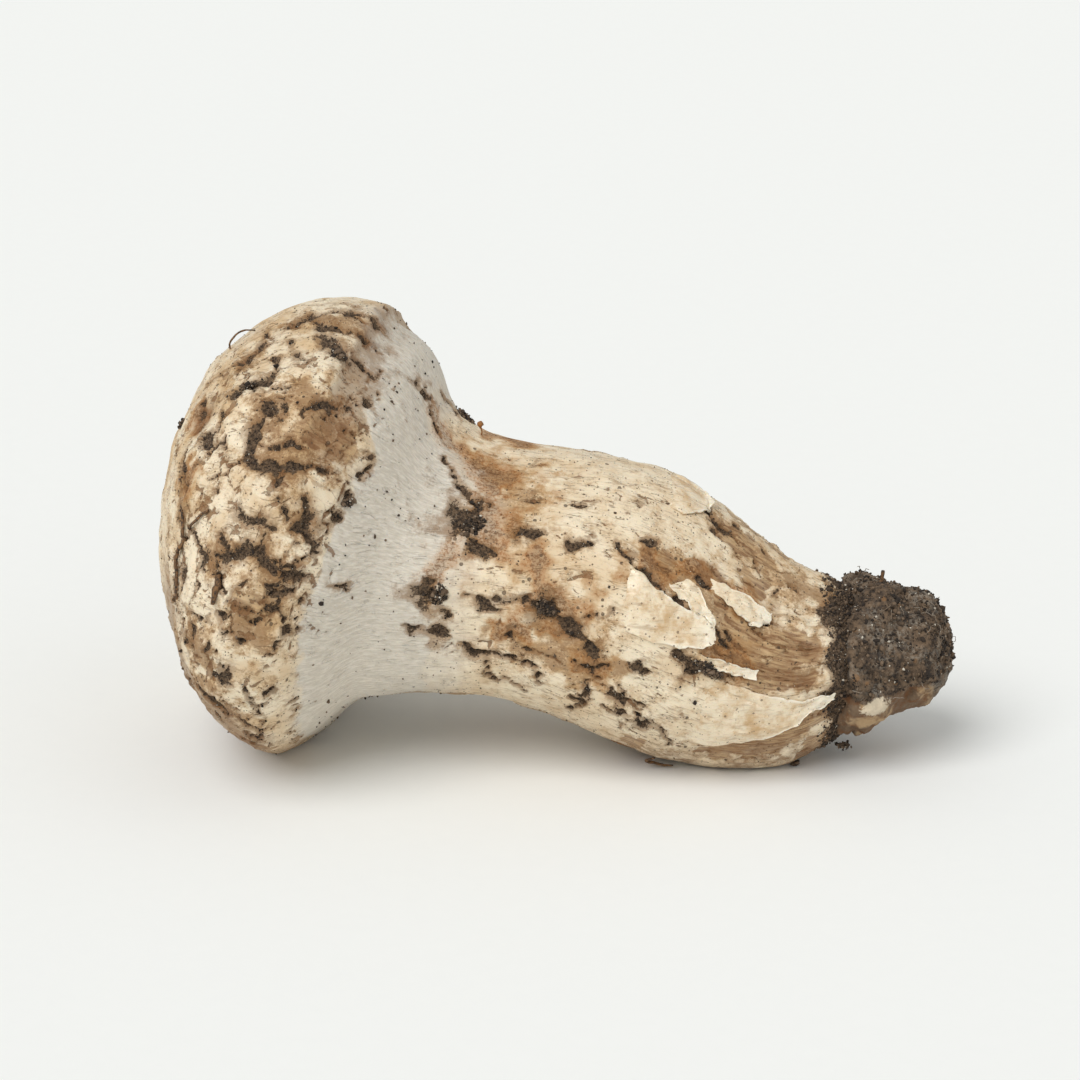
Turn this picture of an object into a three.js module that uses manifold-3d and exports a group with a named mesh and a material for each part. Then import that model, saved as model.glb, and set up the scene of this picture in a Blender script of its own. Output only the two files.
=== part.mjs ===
// A young matsutake as picked, lying on its side: closed cap, veil and stem grown as one body, with
// earth caked round its foot and the forest litter that clings to its skin.
//
// Millimetres, +Z up. The surface that it lies on is drawn at Z = SETTLED, and at the end everything
// moves down until that is Z = 0. X runs from the crown of the cap (-X) to the foot (+X). Round the
// body, angles in degrees are measured from the upper side (0) through the side that faces -Y (90) to
// the underside (180). A place on the skin is given as where the middle of its ring is along X, the
// angle round the body, and the height off the skin.
import * as THREE from 'three';
import { mergeVertices } from 'three/addons/utils/BufferGeometryUtils.js';
import Module from 'manifold-3d';

const wasm = await Module();
wasm.setup();

// ---- Driving dimensions ----

const CAP_RADIUS = 35.5; // widest part of the closed cap
const SIDE_SWELL = 0.05; // the body is this share broader across than it is high
const TIP_SHARE = 0.985; // a rounded end stops its last ring this far along its arc
const GAP = 0.3; // between the body and whatever lies on it
const SETTLED = 0.6; // the soft body has sunk this far, and flattened, onto the surface it lies on

const CLOD_SUNK = 0.1; // share of its height that a clod's middle lies under the skin
const CLOD_DENT = 0.1; // depth of a clod's dents, as a share of its half width

const SEGMENTS_AROUND = 48;
const CROWN_RINGS = 12;
const FOOT_RINGS = 5;
const CRUST_END_RINGS = 6;
const THREAD_SIDES = 6;
const THREAD_STEPS = 6; // between two of its points
const RINGS_PER_STATION = 3;

// The crown of the cap: its middle, and how the ring planes lean there.
const CROWN = { at: [-59, 6.5, 39], radius: 0, tilt: 3, yaw: 8 };

// Sections of the body where its shape changes, from the widest part of the cap to the foot. Each
// plane faces the foot, dipped by tilt and turned towards -Y by yaw, both in degrees.
const STATIONS = [
  { at: [-37, 2.5, 34.5], radius: CAP_RADIUS, tilt: 15, yaw: 14 },
  { at: [-32, 1.5, 32], radius: 34, tilt: 15, yaw: 14 }, // margin of the cap rolls in
  { at: [-28, 1, 31], radius: 29.5, tilt: 15, yaw: 13 },
  { at: [-24, 0.5, 31], radius: 24, tilt: 15, yaw: 11 }, // veil
  { at: [-20, 0, 30], radius: 21.5, tilt: 14, yaw: 10 },
  { at: [-15, -0.5, 29.5], radius: 20, tilt: 14, yaw: 8 }, // collar, where the veil meets the stem
  { at: [-7, -1.5, 29], radius: 19.5, tilt: 14, yaw: 7 },
  { at: [2, -2, 27.5], radius: 20, tilt: 16, yaw: 6 },
  { at: [11, -2.5, 24.5], radius: 20.5, tilt: 17, yaw: 5 }, // belly
  { at: [20, -3, 20], radius: 19.5, tilt: 17, yaw: 5 },
  { at: [28, -3.5, 16.5], radius: 17.5, tilt: 15, yaw: 4 },
  { at: [35, -4, 15], radius: 15.5, tilt: 10, yaw: 3 },
  { at: [40, -4.5, 15.5], radius: 13.5, tilt: 5, yaw: 2 },
  { at: [45, -4.5, 16.5], radius: 10, tilt: 1, yaw: 2 }, // tapers in under the caked earth
  { at: [50, -5, 17.5], radius: 8, tilt: -2, yaw: 1 },
];
const FOOT = { at: [57, -5.5, 19], radius: 0, tilt: -4, yaw: 1 };

// Slow swellings round the body: depth in mm, waves round it, and how far they wind along it.
const SWELLINGS = [
  { depth: 0.45, waves: 3, phase: 40, wind: 150 },
  { depth: 0.3, waves: 5, phase: 200, wind: -260 },
  { depth: 0.2, waves: 7, phase: 15, wind: 420 },
];

// Earth caked round the foot, from its ragged edge to its blunt end.
const CRUST_STATIONS = [
  { at: [42.5, -4.5, 16], radius: 12.5, tilt: 3, yaw: 2 },
  { at: [46, -5, 17], radius: 12, tilt: 0, yaw: 2 },
  { at: [50, -5, 18], radius: 10.5, tilt: -2, yaw: 1 },
  { at: [53, -5, 18.5], radius: 9, tilt: -3, yaw: 1 },
];
const CRUST_END = { at: [60, -5, 19], radius: 0, tilt: -4, yaw: 1 };
const CRUST_SWELLINGS = [
  { depth: 0.35, waves: 4, phase: 70, wind: 500 },
  { depth: 0.3, waves: 7, phase: 130, wind: -700 },
];

// Clods of soil pressed against the skin: where, how far they are turned on it in degrees, and
// their length, width and height.
const CLODS = {
  soil_clod_crest: { x: -37.5, around: 20, turn: -35, size: [3.5, 2, 2] },
  soil_clod_shoulder: { x: -46, around: 35, turn: 20, size: [3.5, 2, 1.8] },
  soil_clod_brow: { x: -55.5, around: 35, turn: 70, size: [2, 1.2, 1.6] },
  soil_clod_margin: { x: -29, around: 55, turn: 30, size: [3, 1.5, 1.6] },
  soil_clod_neck: { x: -21, around: 340, turn: 0, size: [6, 2.5, 2.4] },
  soil_clod_collar: { x: -13.5, around: 50, turn: 60, size: [5, 3.5, 2.4] },
  soil_clod_flank: { x: -15.5, around: 80, turn: 65, size: [4, 3, 2] },
  soil_clod_stem: { x: -0.5, around: 80, turn: -25, size: [5, 3, 2] },
  soil_clod_scale: { x: 22.5, around: 80, turn: -10, size: [7, 2.5, 2] },
};

// Crumbs that hang under the foot: their middles, lengths, widths and heights.
const CRUMBS = {
  soil_crumb_belly: { at: [36, -9.5, 1.6], size: [2, 1.5, 1.2] },
  soil_crumb_foot: { at: [43.5, -9.5, 4], size: [2.5, 1.5, 1.5] },
};

// Rootlets and needles that lie on the skin, through places on it, with their radii.
const ROOTLETS = {
  rootlet_arched: {
    radius: 0.25,
    through: [[-50.5, 5, 0.2], [-50, 5, 1], [-49.5, 3, 1.2], [-48.8, 1, 1], [-48.2, 0, 0.2]],
  },
  rootlet_long: {
    radius: 0.35,
    through: [[-47.5, 70, 0.8], [-47.5, 77, 0.8], [-48, 85, 0.8], [-47, 95, 0.8]],
  },
  rootlet_branch: {
    radius: 0.3,
    through: [[-44.5, 70, 0.8], [-45.5, 73, 0.9], [-46, 75, 1]],
  },
  pine_needle_bit: { radius: 0.45, through: [[-41, 83, 0.8], [-40.5, 88, 0.8]] },
  rootlet_curled: {
    radius: 0.3,
    through: [[25, 146, 0.3], [24.5, 149, 0.8], [25.5, 151, 0.8], [27, 150, 0.8]],
  },
};

// A seed husk on a fine stalk, standing on the neck, and a root's stub standing on the caked earth.
const HUSK = {
  place: [-17, 348, 0.1],
  stalk: [-0.4, 0, 2],
  stalkRadius: 0.2,
  length: 1.3,
  radius: 0.4,
};
const STUB = { foot: [49, -2.5, 27.5], stalk: [0.3, 0, 2.5], radius: 0.4 };

// ---- Sections and surfaces ----

const vector = (xyz) => new THREE.Vector3(...xyz);
const shapeOf = (station) => new THREE.Vector3(station.radius, station.tilt, station.yaw);

// One ring: its middle, radius and two directions across it, towards the upper side and towards -Y.
function ringFrom(middle, shape) {
  const tilt = THREE.MathUtils.degToRad(shape.y);
  const yaw = THREE.MathUtils.degToRad(shape.z);
  const facing = new THREE.Vector3(
    Math.cos(yaw) * Math.cos(tilt),
    -Math.sin(yaw) * Math.cos(tilt),
    -Math.sin(tilt),
  );
  const side = new THREE.Vector3(0, 0, 1).cross(facing).normalize().negate();
  const upper = facing.clone().cross(side).negate();
  return { middle, radius: shape.x, side, upper };
}

// Rings of a rounded end, from its tip to its widest station: a quarter of an ellipse.
function roundedEnd(tip, widest, count) {
  const rings = [];
  for (let i = 1; i < count; i++) {
    const share = 1 - Math.cos((i / count) * (Math.PI / 2) * TIP_SHARE);
    const shape = shapeOf(tip).lerp(shapeOf(widest), share);
    shape.x = widest.radius * Math.sqrt(1 - (1 - share) ** 2);
    rings.push(ringFrom(vector(tip.at).lerp(vector(widest.at), share), shape));
  }
  return rings;
}

// Rings through a run of stations on smooth curves.
function throughStations(stations) {
  const middles = new THREE.CatmullRomCurve3(stations.map((s) => vector(s.at)), false, 'catmullrom');
  const shapes = new THREE.CatmullRomCurve3(stations.map(shapeOf), false, 'catmullrom');
  const steps = (stations.length - 1) * RINGS_PER_STATION;
  return Array.from({ length: steps + 1 }, (_, i) =>
    ringFrom(middles.getPoint(i / steps), shapes.getPoint(i / steps)),
  );
}

function swellingAt(swellings, angle, along) {
  return swellings.reduce((sum, s) => {
    const turn = THREE.MathUtils.degToRad(s.phase + s.wind * along);
    return sum + s.depth * Math.cos(s.waves * angle + turn);
  }, 0);
}

// A point of a ring, the skin grown outwards by extra. The swellings die away at a pointed end.
function ringPoint(ring, angle, along, swellings, extra) {
  const fade = Math.min(1, ring.radius / 6);
  const swell = swellingAt(swellings, angle, along) * fade;
  const radius = ring.radius * (1 + SIDE_SWELL * Math.sin(angle) ** 2) + swell + extra;
  return ring.middle
    .clone()
    .addScaledVector(ring.upper, radius * Math.cos(angle))
    .addScaledVector(ring.side, radius * Math.sin(angle));
}

// The closed surface over a stack of rings between two tips.
function skinOver(rings, firstTip, lastTip, { swellings, extra = 0 }) {
  const positions = [];
  const faces = [];
  const push = (point) => {
    positions.push(point.x, point.y, Math.max(point.z, SETTLED));
  };
  const outwards = (tip, next) => tip.clone().sub(next).normalize().multiplyScalar(extra);
  push(firstTip.clone().add(outwards(firstTip, rings[0].middle)));
  rings.forEach((ring, i) => {
    for (let j = 0; j < SEGMENTS_AROUND; j++) {
      const angle = (j / SEGMENTS_AROUND) * 2 * Math.PI;
      push(ringPoint(ring, angle, i / (rings.length - 1), swellings, extra));
    }
  });
  push(lastTip.clone().add(outwards(lastTip, rings.at(-1).middle)));
  const at = (i, j) => 1 + i * SEGMENTS_AROUND + (j % SEGMENTS_AROUND);
  const last = positions.length / 3 - 1;
  for (let j = 0; j < SEGMENTS_AROUND; j++) {
    faces.push(0, at(0, j + 1), at(0, j));
    for (let i = 0; i < rings.length - 1; i++) {
      faces.push(at(i, j), at(i, j + 1), at(i + 1, j));
      faces.push(at(i, j + 1), at(i + 1, j + 1), at(i + 1, j));
    }
    faces.push(last, at(rings.length - 1, j), at(rings.length - 1, j + 1));
  }
  return new THREE.BufferGeometry()
    .setAttribute('position', new THREE.BufferAttribute(new Float32Array(positions), 3))
    .setIndex(faces);
}

// ---- Solids ----

function solidFrom(geometry) {
  const bare = geometry.clone();
  for (const name of ['normal', 'uv']) bare.deleteAttribute(name);
  const merged = mergeVertices(bare);
  const vertProperties = new Float32Array(merged.attributes.position.array);
  const triVerts = new Uint32Array(merged.index.array);
  return new wasm.Manifold(new wasm.Mesh({ numProp: 3, vertProperties, triVerts }));
}

function geometryFrom(solid) {
  const mesh = solid.getMesh();
  const geometry = new THREE.BufferGeometry()
    .setAttribute('position', new THREE.BufferAttribute(new Float32Array(mesh.vertProperties), 3))
    .setIndex(new THREE.BufferAttribute(new Uint32Array(mesh.triVerts), 1));
  geometry.computeVertexNormals();
  return geometry;
}

// ---- Cap, veil and stem ----

const bodyRings = [
  ...roundedEnd(CROWN, STATIONS[0], CROWN_RINGS),
  ...throughStations(STATIONS),
  ...roundedEnd(FOOT, STATIONS.at(-1), FOOT_RINGS).reverse(),
];

const bodyGeometry = (extra = 0) =>
  skinOver(bodyRings, vector(CROWN.at), vector(FOOT.at), { swellings: SWELLINGS, extra });

const grownBody = solidFrom(bodyGeometry(GAP));

// The skin where the middle of its ring is at x: a point, and the directions along the body, round
// it and outwards.
function skinAt([x, around, height]) {
  const next = bodyRings.findIndex((ring) => ring.middle.x > x);
  const [before, after] = [bodyRings[next - 1], bodyRings[next]];
  const share = (x - before.middle.x) / (after.middle.x - before.middle.x);
  const pointAt = (part, degrees) => {
    const angle = THREE.MathUtils.degToRad(degrees);
    const along = (next - 1 + part) / (bodyRings.length - 1);
    const ends = [before, after].map((ring) => ringPoint(ring, angle, along, SWELLINGS, 0));
    return ends[0].lerp(ends[1], part);
  };
  const point = pointAt(share, around);
  const ahead = pointAt(1, around).sub(pointAt(0, around)).normalize();
  const round = pointAt(share, around + 1).sub(pointAt(share, around - 1)).normalize();
  const outwards = ahead.clone().cross(round).negate().normalize();
  return { point: point.addScaledVector(outwards, height), ahead, round, outwards };
}

// ---- Caked earth ----

function crustSolid(extra) {
  const rings = [
    ...throughStations(CRUST_STATIONS),
    ...roundedEnd(CRUST_END, CRUST_STATIONS.at(-1), CRUST_END_RINGS).reverse(),
  ];
  const edge = vector(CRUST_STATIONS[0].at);
  return solidFrom(
    skinOver(rings, edge, vector(CRUST_END.at), { swellings: CRUST_SWELLINGS, extra }),
  );
}

const grownCrust = crustSolid(GAP);

// ---- Litter ----

// Whatever clings to the body and its earth is cut back from them by the gap.
const clinging = (solid) => geometryFrom(solid.subtract(grownBody).subtract(grownCrust));

// A round lump with a few slow dents, stretched to its size.
function lumpGeometry([length, width, height]) {
  const lump = new THREE.IcosahedronGeometry(1, 2);
  const position = lump.attributes.position;
  for (let i = 0; i < position.count; i++) {
    const p = new THREE.Vector3().fromBufferAttribute(position, i);
    const wave = Math.sin(3.1 * p.x + 2 * p.y) * Math.cos(2.7 * p.y - 3.3 * p.z);
    p.multiplyScalar(1 + CLOD_DENT * wave);
    position.setXYZ(i, p.x, p.y, p.z);
  }
  return lump.scale(length / 2, width / 2, height / 2);
}

function clodGeometry({ x, around, turn, size }) {
  const { point, ahead, round, outwards } = skinAt([x, around, -CLOD_SUNK * size[2]]);
  const place = new THREE.Matrix4().makeBasis(ahead, round.negate(), outwards).setPosition(point);
  const lump = lumpGeometry(size).rotateZ(THREE.MathUtils.degToRad(turn)).applyMatrix4(place);
  return clinging(solidFrom(lump));
}

function crumbGeometry({ at, size }) {
  return clinging(solidFrom(lumpGeometry(size).translate(...at)));
}

// A round thread of even thickness through points.
function threadSolid(points, radius) {
  const section = new THREE.Shape(
    Array.from({ length: THREAD_SIDES }, (_, i) => {
      const angle = (i / THREAD_SIDES) * 2 * Math.PI;
      return new THREE.Vector2(radius * Math.cos(angle), radius * Math.sin(angle));
    }),
  );
  const extrudePath = new THREE.CatmullRomCurve3(points);
  const steps = THREAD_STEPS * (points.length - 1);
  return solidFrom(new THREE.ExtrudeGeometry(section, { steps, bevelEnabled: false, extrudePath }));
}

function rootletGeometry({ radius, through }) {
  return clinging(threadSolid(through.map((place) => skinAt(place).point), radius));
}

function huskGeometry() {
  const foot = skinAt(HUSK.place).point;
  const top = foot.clone().add(vector(HUSK.stalk));
  const stalk = threadSolid([foot, top], HUSK.stalkRadius);
  const husk = new THREE.SphereGeometry(1, 10, 8)
    .rotateX(Math.PI / 2)
    .scale(HUSK.radius, HUSK.radius, HUSK.length / 2)
    .translate(top.x, top.y, top.z + 0.4 * HUSK.length);
  return clinging(stalk.add(solidFrom(husk)));
}

function stubGeometry() {
  const foot = vector(STUB.foot);
  return clinging(threadSolid([foot, foot.clone().add(vector(STUB.stalk))], STUB.radius));
}

// ---- The object ----

const FINISHES = {
  skin: new THREE.MeshStandardMaterial({ color: 0xdcc7a4, roughness: 0.75, metalness: 0 }),
  earth: new THREE.MeshStandardMaterial({ color: 0x3d332b, roughness: 0.95, metalness: 0 }),
  rootlet: new THREE.MeshStandardMaterial({ color: 0x4a3a2c, roughness: 0.8, metalness: 0 }),
  husk: new THREE.MeshStandardMaterial({ color: 0xa5693c, roughness: 0.6, metalness: 0 }),
};

const mushroom = new THREE.Group();

function addPiece(name, geometry, finish) {
  const mesh = new THREE.Mesh(geometry, finish);
  mesh.name = name;
  mushroom.add(mesh);
}

addPiece('mushroom_body', bodyGeometry(), FINISHES.skin);
addPiece('earth_crust', geometryFrom(crustSolid(0).subtract(grownBody)), FINISHES.earth);
for (const [name, clod] of Object.entries(CLODS)) {
  addPiece(name, clodGeometry(clod), FINISHES.earth);
}
for (const [name, crumb] of Object.entries(CRUMBS)) {
  addPiece(name, crumbGeometry(crumb), FINISHES.earth);
}
for (const [name, rootlet] of Object.entries(ROOTLETS)) {
  addPiece(name, rootletGeometry(rootlet), FINISHES.rootlet);
}
addPiece('husk_on_stalk', huskGeometry(), FINISHES.husk);
addPiece('root_stub', stubGeometry(), FINISHES.rootlet);

// The origin is on the resting surface, under the middle of the object's box.
const middle = new THREE.Box3().setFromObject(mushroom).getCenter(new THREE.Vector3());
mushroom.position.set(-middle.x, -middle.y, -SETTLED);

export default mushroom;
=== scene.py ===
"""A young matsutake mushroom lying on its side, with earth and forest litter on its skin.

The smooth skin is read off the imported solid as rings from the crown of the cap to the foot. A place
on it is (along, around): millimetres along the skin from the crown, and degrees round the body from
its upper side (0) through the side that faces -Y (90) to its underside (180). Crevices, scales,
stains and soil are strokes through such places.
"""
import functools
import math

import bmesh
import bpy
import mathutils
import numpy as np
from bpy.props import FloatProperty, FloatVectorProperty, IntProperty, PointerProperty
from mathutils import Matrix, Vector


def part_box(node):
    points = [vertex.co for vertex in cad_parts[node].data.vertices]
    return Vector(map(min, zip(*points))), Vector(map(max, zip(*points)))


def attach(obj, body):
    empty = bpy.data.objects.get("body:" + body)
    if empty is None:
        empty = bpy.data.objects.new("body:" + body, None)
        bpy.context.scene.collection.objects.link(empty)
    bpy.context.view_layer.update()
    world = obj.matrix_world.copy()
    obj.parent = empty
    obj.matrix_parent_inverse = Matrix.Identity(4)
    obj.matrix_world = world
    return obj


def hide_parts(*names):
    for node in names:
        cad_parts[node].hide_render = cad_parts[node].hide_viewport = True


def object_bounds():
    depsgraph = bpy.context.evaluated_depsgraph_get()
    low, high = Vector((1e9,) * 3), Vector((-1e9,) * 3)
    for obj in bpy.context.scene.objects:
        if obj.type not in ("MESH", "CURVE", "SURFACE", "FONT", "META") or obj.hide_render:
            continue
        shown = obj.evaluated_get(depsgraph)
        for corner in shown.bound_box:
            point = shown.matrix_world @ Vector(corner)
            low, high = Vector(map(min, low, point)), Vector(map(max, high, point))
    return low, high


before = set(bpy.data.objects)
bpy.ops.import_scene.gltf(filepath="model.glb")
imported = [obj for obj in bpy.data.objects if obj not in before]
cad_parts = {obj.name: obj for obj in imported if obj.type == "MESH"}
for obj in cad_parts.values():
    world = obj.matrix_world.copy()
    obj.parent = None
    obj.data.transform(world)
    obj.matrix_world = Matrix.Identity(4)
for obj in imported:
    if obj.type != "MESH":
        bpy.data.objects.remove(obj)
CAD_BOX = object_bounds()

bl_info = {
    "name": "Matsutake Mushroom",
    "version": (1, 0, 0),
    "blender": (4, 5, 0),
    "location": "View3D > Sidebar > Matsutake",
    "description": "Builds a matsutake mushroom with soil and litter on its skin",
    "category": "Add Mesh",
}

MM = 0.001
CAD_SEGMENTS = 48
SKIN_RINGS = 298
SKIN_SEGMENTS = 330
SCALE_STEPS = 56
SANDY = 0.93  # crumbs with a tone above this are pale grains of sand

# The caked earth, in mm: the size of its even mesh, a point inside its end, and the X range over
# which its edge sinks into the skin.
CRUST_VOXEL = 0.42
CRUST_MIDDLE = (51.0, -7.2, 17.5)
CRUST_EDGE = (42.0, 45.5)
CRUST_THREADS = 90

# Crumbs: how many lie loose on the skin, on the veil, where the caked earth starts, and on the earth.
LOOSE_CRUMBS = 7000
VEIL_CRUMBS = 240
JOINT_CRUMBS = 3000
EARTH_CRUMBS = 5200

# Fibres: how many mm along the body one is, how fine they are round it, and the stem's middle (Y, Z).
FIBRE_LENGTH = 7.0
FIBRE_TURNS = 18.0
STEM_MIDDLE = (-2.3, 22.0)

# The view: degrees above the floor, mm from the object, lens in mm, and the aim in mm from the
# middle of the object's box.
CAMERA_ELEVATION = 20.0
CAMERA_DISTANCE = 547.2
CAMERA_LENS = 120.0
AIM = (-2.8, -2.3, -1.2)

# Lights: name, azimuth and elevation in degrees, how wide each looks in degrees, and its strength.
ROOM_LIGHT = 0.56
LIGHTS = (
    ("key", -35.0, 50.0, 40.0, 1.85),
    ("fill", 60.0, 30.0, 70.0, 0.25),
)

# Rootlets: radius in mm, then (along, around, height off the skin) places.
ROOTLETS = {
    "rootlet_arched": (0.15, [(28, 4, 0), (28.5, 4, 0.8), (29.5, 3, 1.2), (31, 1, 1), (32, 0, 0)]),
    "rootlet_long": (0.28, [(31, 71, 0.5), (32, 78, 0.6), (31, 85, 0.5), (33, 95, 0.4)]),
    "rootlet_branch": (0.2, [(37, 69, 0.3), (35, 73, 0.5), (33, 76, 0.6)]),
    "pine_needle_bit": (0.45, [(42, 83, 0.4), (43, 86, 0.4), (43, 89, 0.4)]),
    "rootlet_curled": (0.22, [(114, 150, 0.4), (113, 155, 1.0), (115, 158, 1.0), (117, 155, 0.8)]),
}


def linear(red, green, blue):
    """An everyday 0-255 colour as the linear values that a shader takes."""
    shares = (value / 255.0 for value in (red, green, blue))
    return tuple(
        share / 12.92 if share <= 0.04045 else ((share + 0.055) / 1.055) ** 2.4 for share in shares
    )


# ---- Numbers and noise ----

def smoothstep(low, high, value):
    """0 below low, 1 above high, and a smooth rise between."""
    share = np.clip((value - low) / (high - low), 0.0, 1.0)
    return share * share * (3.0 - 2.0 * share)


def lattice(cells, seed):
    """A repeatable number from 0 to 1 for each whole-number cell of three columns."""
    keys = cells.astype(np.int64).astype(np.uint64)
    mixed = keys[..., 0] * np.uint64(73856093)
    mixed ^= keys[..., 1] * np.uint64(19349663)
    mixed ^= keys[..., 2] * np.uint64(83492791)
    mixed ^= np.uint64(seed * 2654435761 % (1 << 63))
    mixed = (mixed ^ (mixed >> np.uint64(15))) * np.uint64(2246822519)
    mixed = (mixed ^ (mixed >> np.uint64(13))) * np.uint64(3266489917)
    return ((mixed >> np.uint64(16)) & np.uint64(0xFFFF)).astype(float) / 65535.0


def value_noise(points, size, seed):
    """Smooth noise from -1 to 1 whose lumps are about size across."""
    scaled = points / size
    cell = np.floor(scaled)
    part = scaled - cell
    part = part * part * (3.0 - 2.0 * part)
    total = np.zeros(points.shape[:-1])
    for corner in np.ndindex(2, 2, 2):
        offset = np.array(corner)
        weight = np.prod(np.where(offset == 1, part, 1.0 - part), axis=-1)
        total += weight * lattice(cell + offset, seed)
    return total * 2.0 - 1.0


def fractal(points, size, seed, octaves=4, gain=0.5):
    """Several sizes of value noise laid over each other, from about -1 to 1."""
    total = np.zeros(points.shape[:-1])
    weight = 1.0
    for octave in range(octaves):
        total += weight * value_noise(points + 17.3 * octave, size / 2.0**octave, seed + octave)
        weight *= gain
    return total


def spline(table, at, closed=False):
    """Catmull-Rom interpolation of a table's rows at fractional row numbers."""
    count = len(table)
    low = np.floor(at).astype(int)
    if not closed:
        low = np.clip(low, 0, count - 2)
    part = (at - low).reshape((-1,) + (1,) * (table.ndim - 1))

    def row(shift):
        index = low + shift
        return table[index % count] if closed else table[np.clip(index, 0, count - 1)]

    before, start, end, after = row(-1), row(0), row(1), row(2)
    return 0.5 * (
        2.0 * start
        + (end - before) * part
        + (2.0 * before - 5.0 * start + 4.0 * end - after) * part**2
        + (3.0 * start - before - 3.0 * end + after) * part**3
    )


# ---- The skin ----

def read_rings(cad_object):
    """The solid's rings from crown to foot in mm, each at even angles, with its poles as rings."""
    mesh = bmesh.new()
    mesh.from_mesh(cad_object.data)
    bmesh.ops.remove_doubles(mesh, verts=mesh.verts, dist=1e-6)
    poles = [v for v in mesh.verts if len(v.link_edges) == CAD_SEGMENTS]
    ring = [min(poles, key=lambda v: v.co.x)]
    seen = set(ring)
    rings = []
    while ring:
        rings.append(np.array([v.co for v in ring]) / MM)
        touching = [edge.other_vert(v) for v in ring for edge in v.link_edges]
        ring = [v for v in dict.fromkeys(touching) if v not in seen]
        seen.update(ring)
    mesh.free()
    centres = np.array([points.mean(axis=0) for points in rings])
    return np.array([even_ring(points, centres, i) for i, points in enumerate(rings)])


def even_ring(points, centres, index):
    """One ring resampled at even angles from its upper side."""
    if len(points) == 1:
        return np.repeat(points, CAD_SEGMENTS, axis=0)
    facing = centres[min(index + 1, len(centres) - 1)] - centres[max(index - 1, 0)]
    facing /= np.linalg.norm(facing)
    side = np.cross(facing, (0.0, 0.0, 1.0))
    side /= np.linalg.norm(side)
    upper = np.cross(side, facing)
    spokes = points - centres[index]
    angles = np.degrees(np.arctan2(spokes @ side, spokes @ upper)) % 360.0
    even = np.arange(CAD_SEGMENTS) * 360.0 / CAD_SEGMENTS
    return np.stack([np.interp(even, angles, points[:, k], period=360.0) for k in range(3)], axis=1)


def spread(count, total, weight):
    """Places from 0 to total whose spacing is smaller where weight is larger."""
    fine = np.linspace(0.0, total, 4001)
    share = np.concatenate([[0.0], np.cumsum(weight((fine[1:] + fine[:-1]) / 2.0))])
    return np.interp(np.linspace(0.0, share[-1], count), share, fine)


class Skin:
    """A grid of points over the skin, with places on it looked up by (along, around)."""

    def __init__(self, rings, ring_count, segment_count):
        steps = np.linalg.norm(np.diff(rings, axis=0), axis=2).mean(axis=1)
        ring_along = np.concatenate([[0.0], np.cumsum(steps)])
        self.length = ring_along[-1]
        self.along = spread(ring_count + 2, self.length, self.ring_weight)
        self.around = spread(segment_count + 1, 360.0, self.segment_weight)[:-1]
        turned = np.swapaxes(rings, 0, 1)
        turned = spline(turned, self.around * CAD_SEGMENTS / 360.0, closed=True)
        rings = np.swapaxes(turned, 0, 1)
        at = np.interp(self.along, ring_along, np.arange(len(ring_along)))
        self.points = spline(rings, at)
        self.points[..., 2] = np.maximum(self.points[..., 2], 0.0)
        self.refresh()

    @staticmethod
    def ring_weight(along):
        """Rings lie closer together where scales and crevices are."""
        return 0.55 + 0.45 * smoothstep(4.0, 12.0, along) - 0.45 * smoothstep(138.0, 144.0, along)

    @staticmethod
    def segment_weight(around):
        """Segments are narrower on the near side."""
        off = np.abs((around - 75.0 + 180.0) % 360.0 - 180.0)
        return 1.0 + 1.5 * (1.0 - smoothstep(80.0, 130.0, off))

    def refresh(self):
        """Works out the normals and the directions along the skin from the points."""
        ahead = np.gradient(self.points, axis=0)
        round_ = np.roll(self.points, -1, axis=1) - np.roll(self.points, 1, axis=1)
        normal = np.cross(round_, ahead)
        length = np.linalg.norm(normal, axis=2, keepdims=True)
        self.normals = normal / np.maximum(length, 1e-9)
        self.normals[0] = self.normals[1].mean(axis=0)
        self.normals[-1] = self.normals[-2].mean(axis=0)
        self.normals /= np.linalg.norm(self.normals, axis=2, keepdims=True)
        self.ahead = ahead / np.maximum(np.linalg.norm(ahead, axis=2, keepdims=True), 1e-9)

    def look_up(self, table, places):
        """A grid's values at (along, around) places, by bilinear interpolation."""
        places = np.asarray(places, float).reshape(-1, 2)
        row = np.interp(places[:, 0], self.along, np.arange(len(self.along)))
        wrapped = np.append(self.around, 360.0)
        column = np.interp(places[:, 1] % 360.0, wrapped, np.arange(len(wrapped)))
        i = np.minimum(row.astype(int), len(self.along) - 2)
        j = np.minimum(column.astype(int), len(self.around) - 1)
        next_j = (j + 1) % len(self.around)
        down, across = row - i, column - j
        if table.ndim == 3:
            down, across = down[:, None], across[:, None]
        upper = table[i, j] * (1.0 - across) + table[i, next_j] * across
        lower = table[i + 1, j] * (1.0 - across) + table[i + 1, next_j] * across
        return upper * (1.0 - down) + lower * down


# ---- Strokes on the skin ----

def stroke_line(skin, places, step=0.3):
    """Points every step mm on the skin along a smooth line through (along, around) places."""
    table = np.array(places, float)
    table[:, 1] = np.degrees(np.unwrap(np.radians(table[:, 1])))
    if len(table) == 1:
        return skin.look_up(skin.points, table)
    corners = skin.look_up(skin.points, table)
    length = np.linalg.norm(np.diff(corners, axis=0), axis=1).sum()
    at = np.linspace(0.0, len(table) - 1.0, max(int(length / step), 3))
    return skin.look_up(skin.points, spline(table, at))


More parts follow.
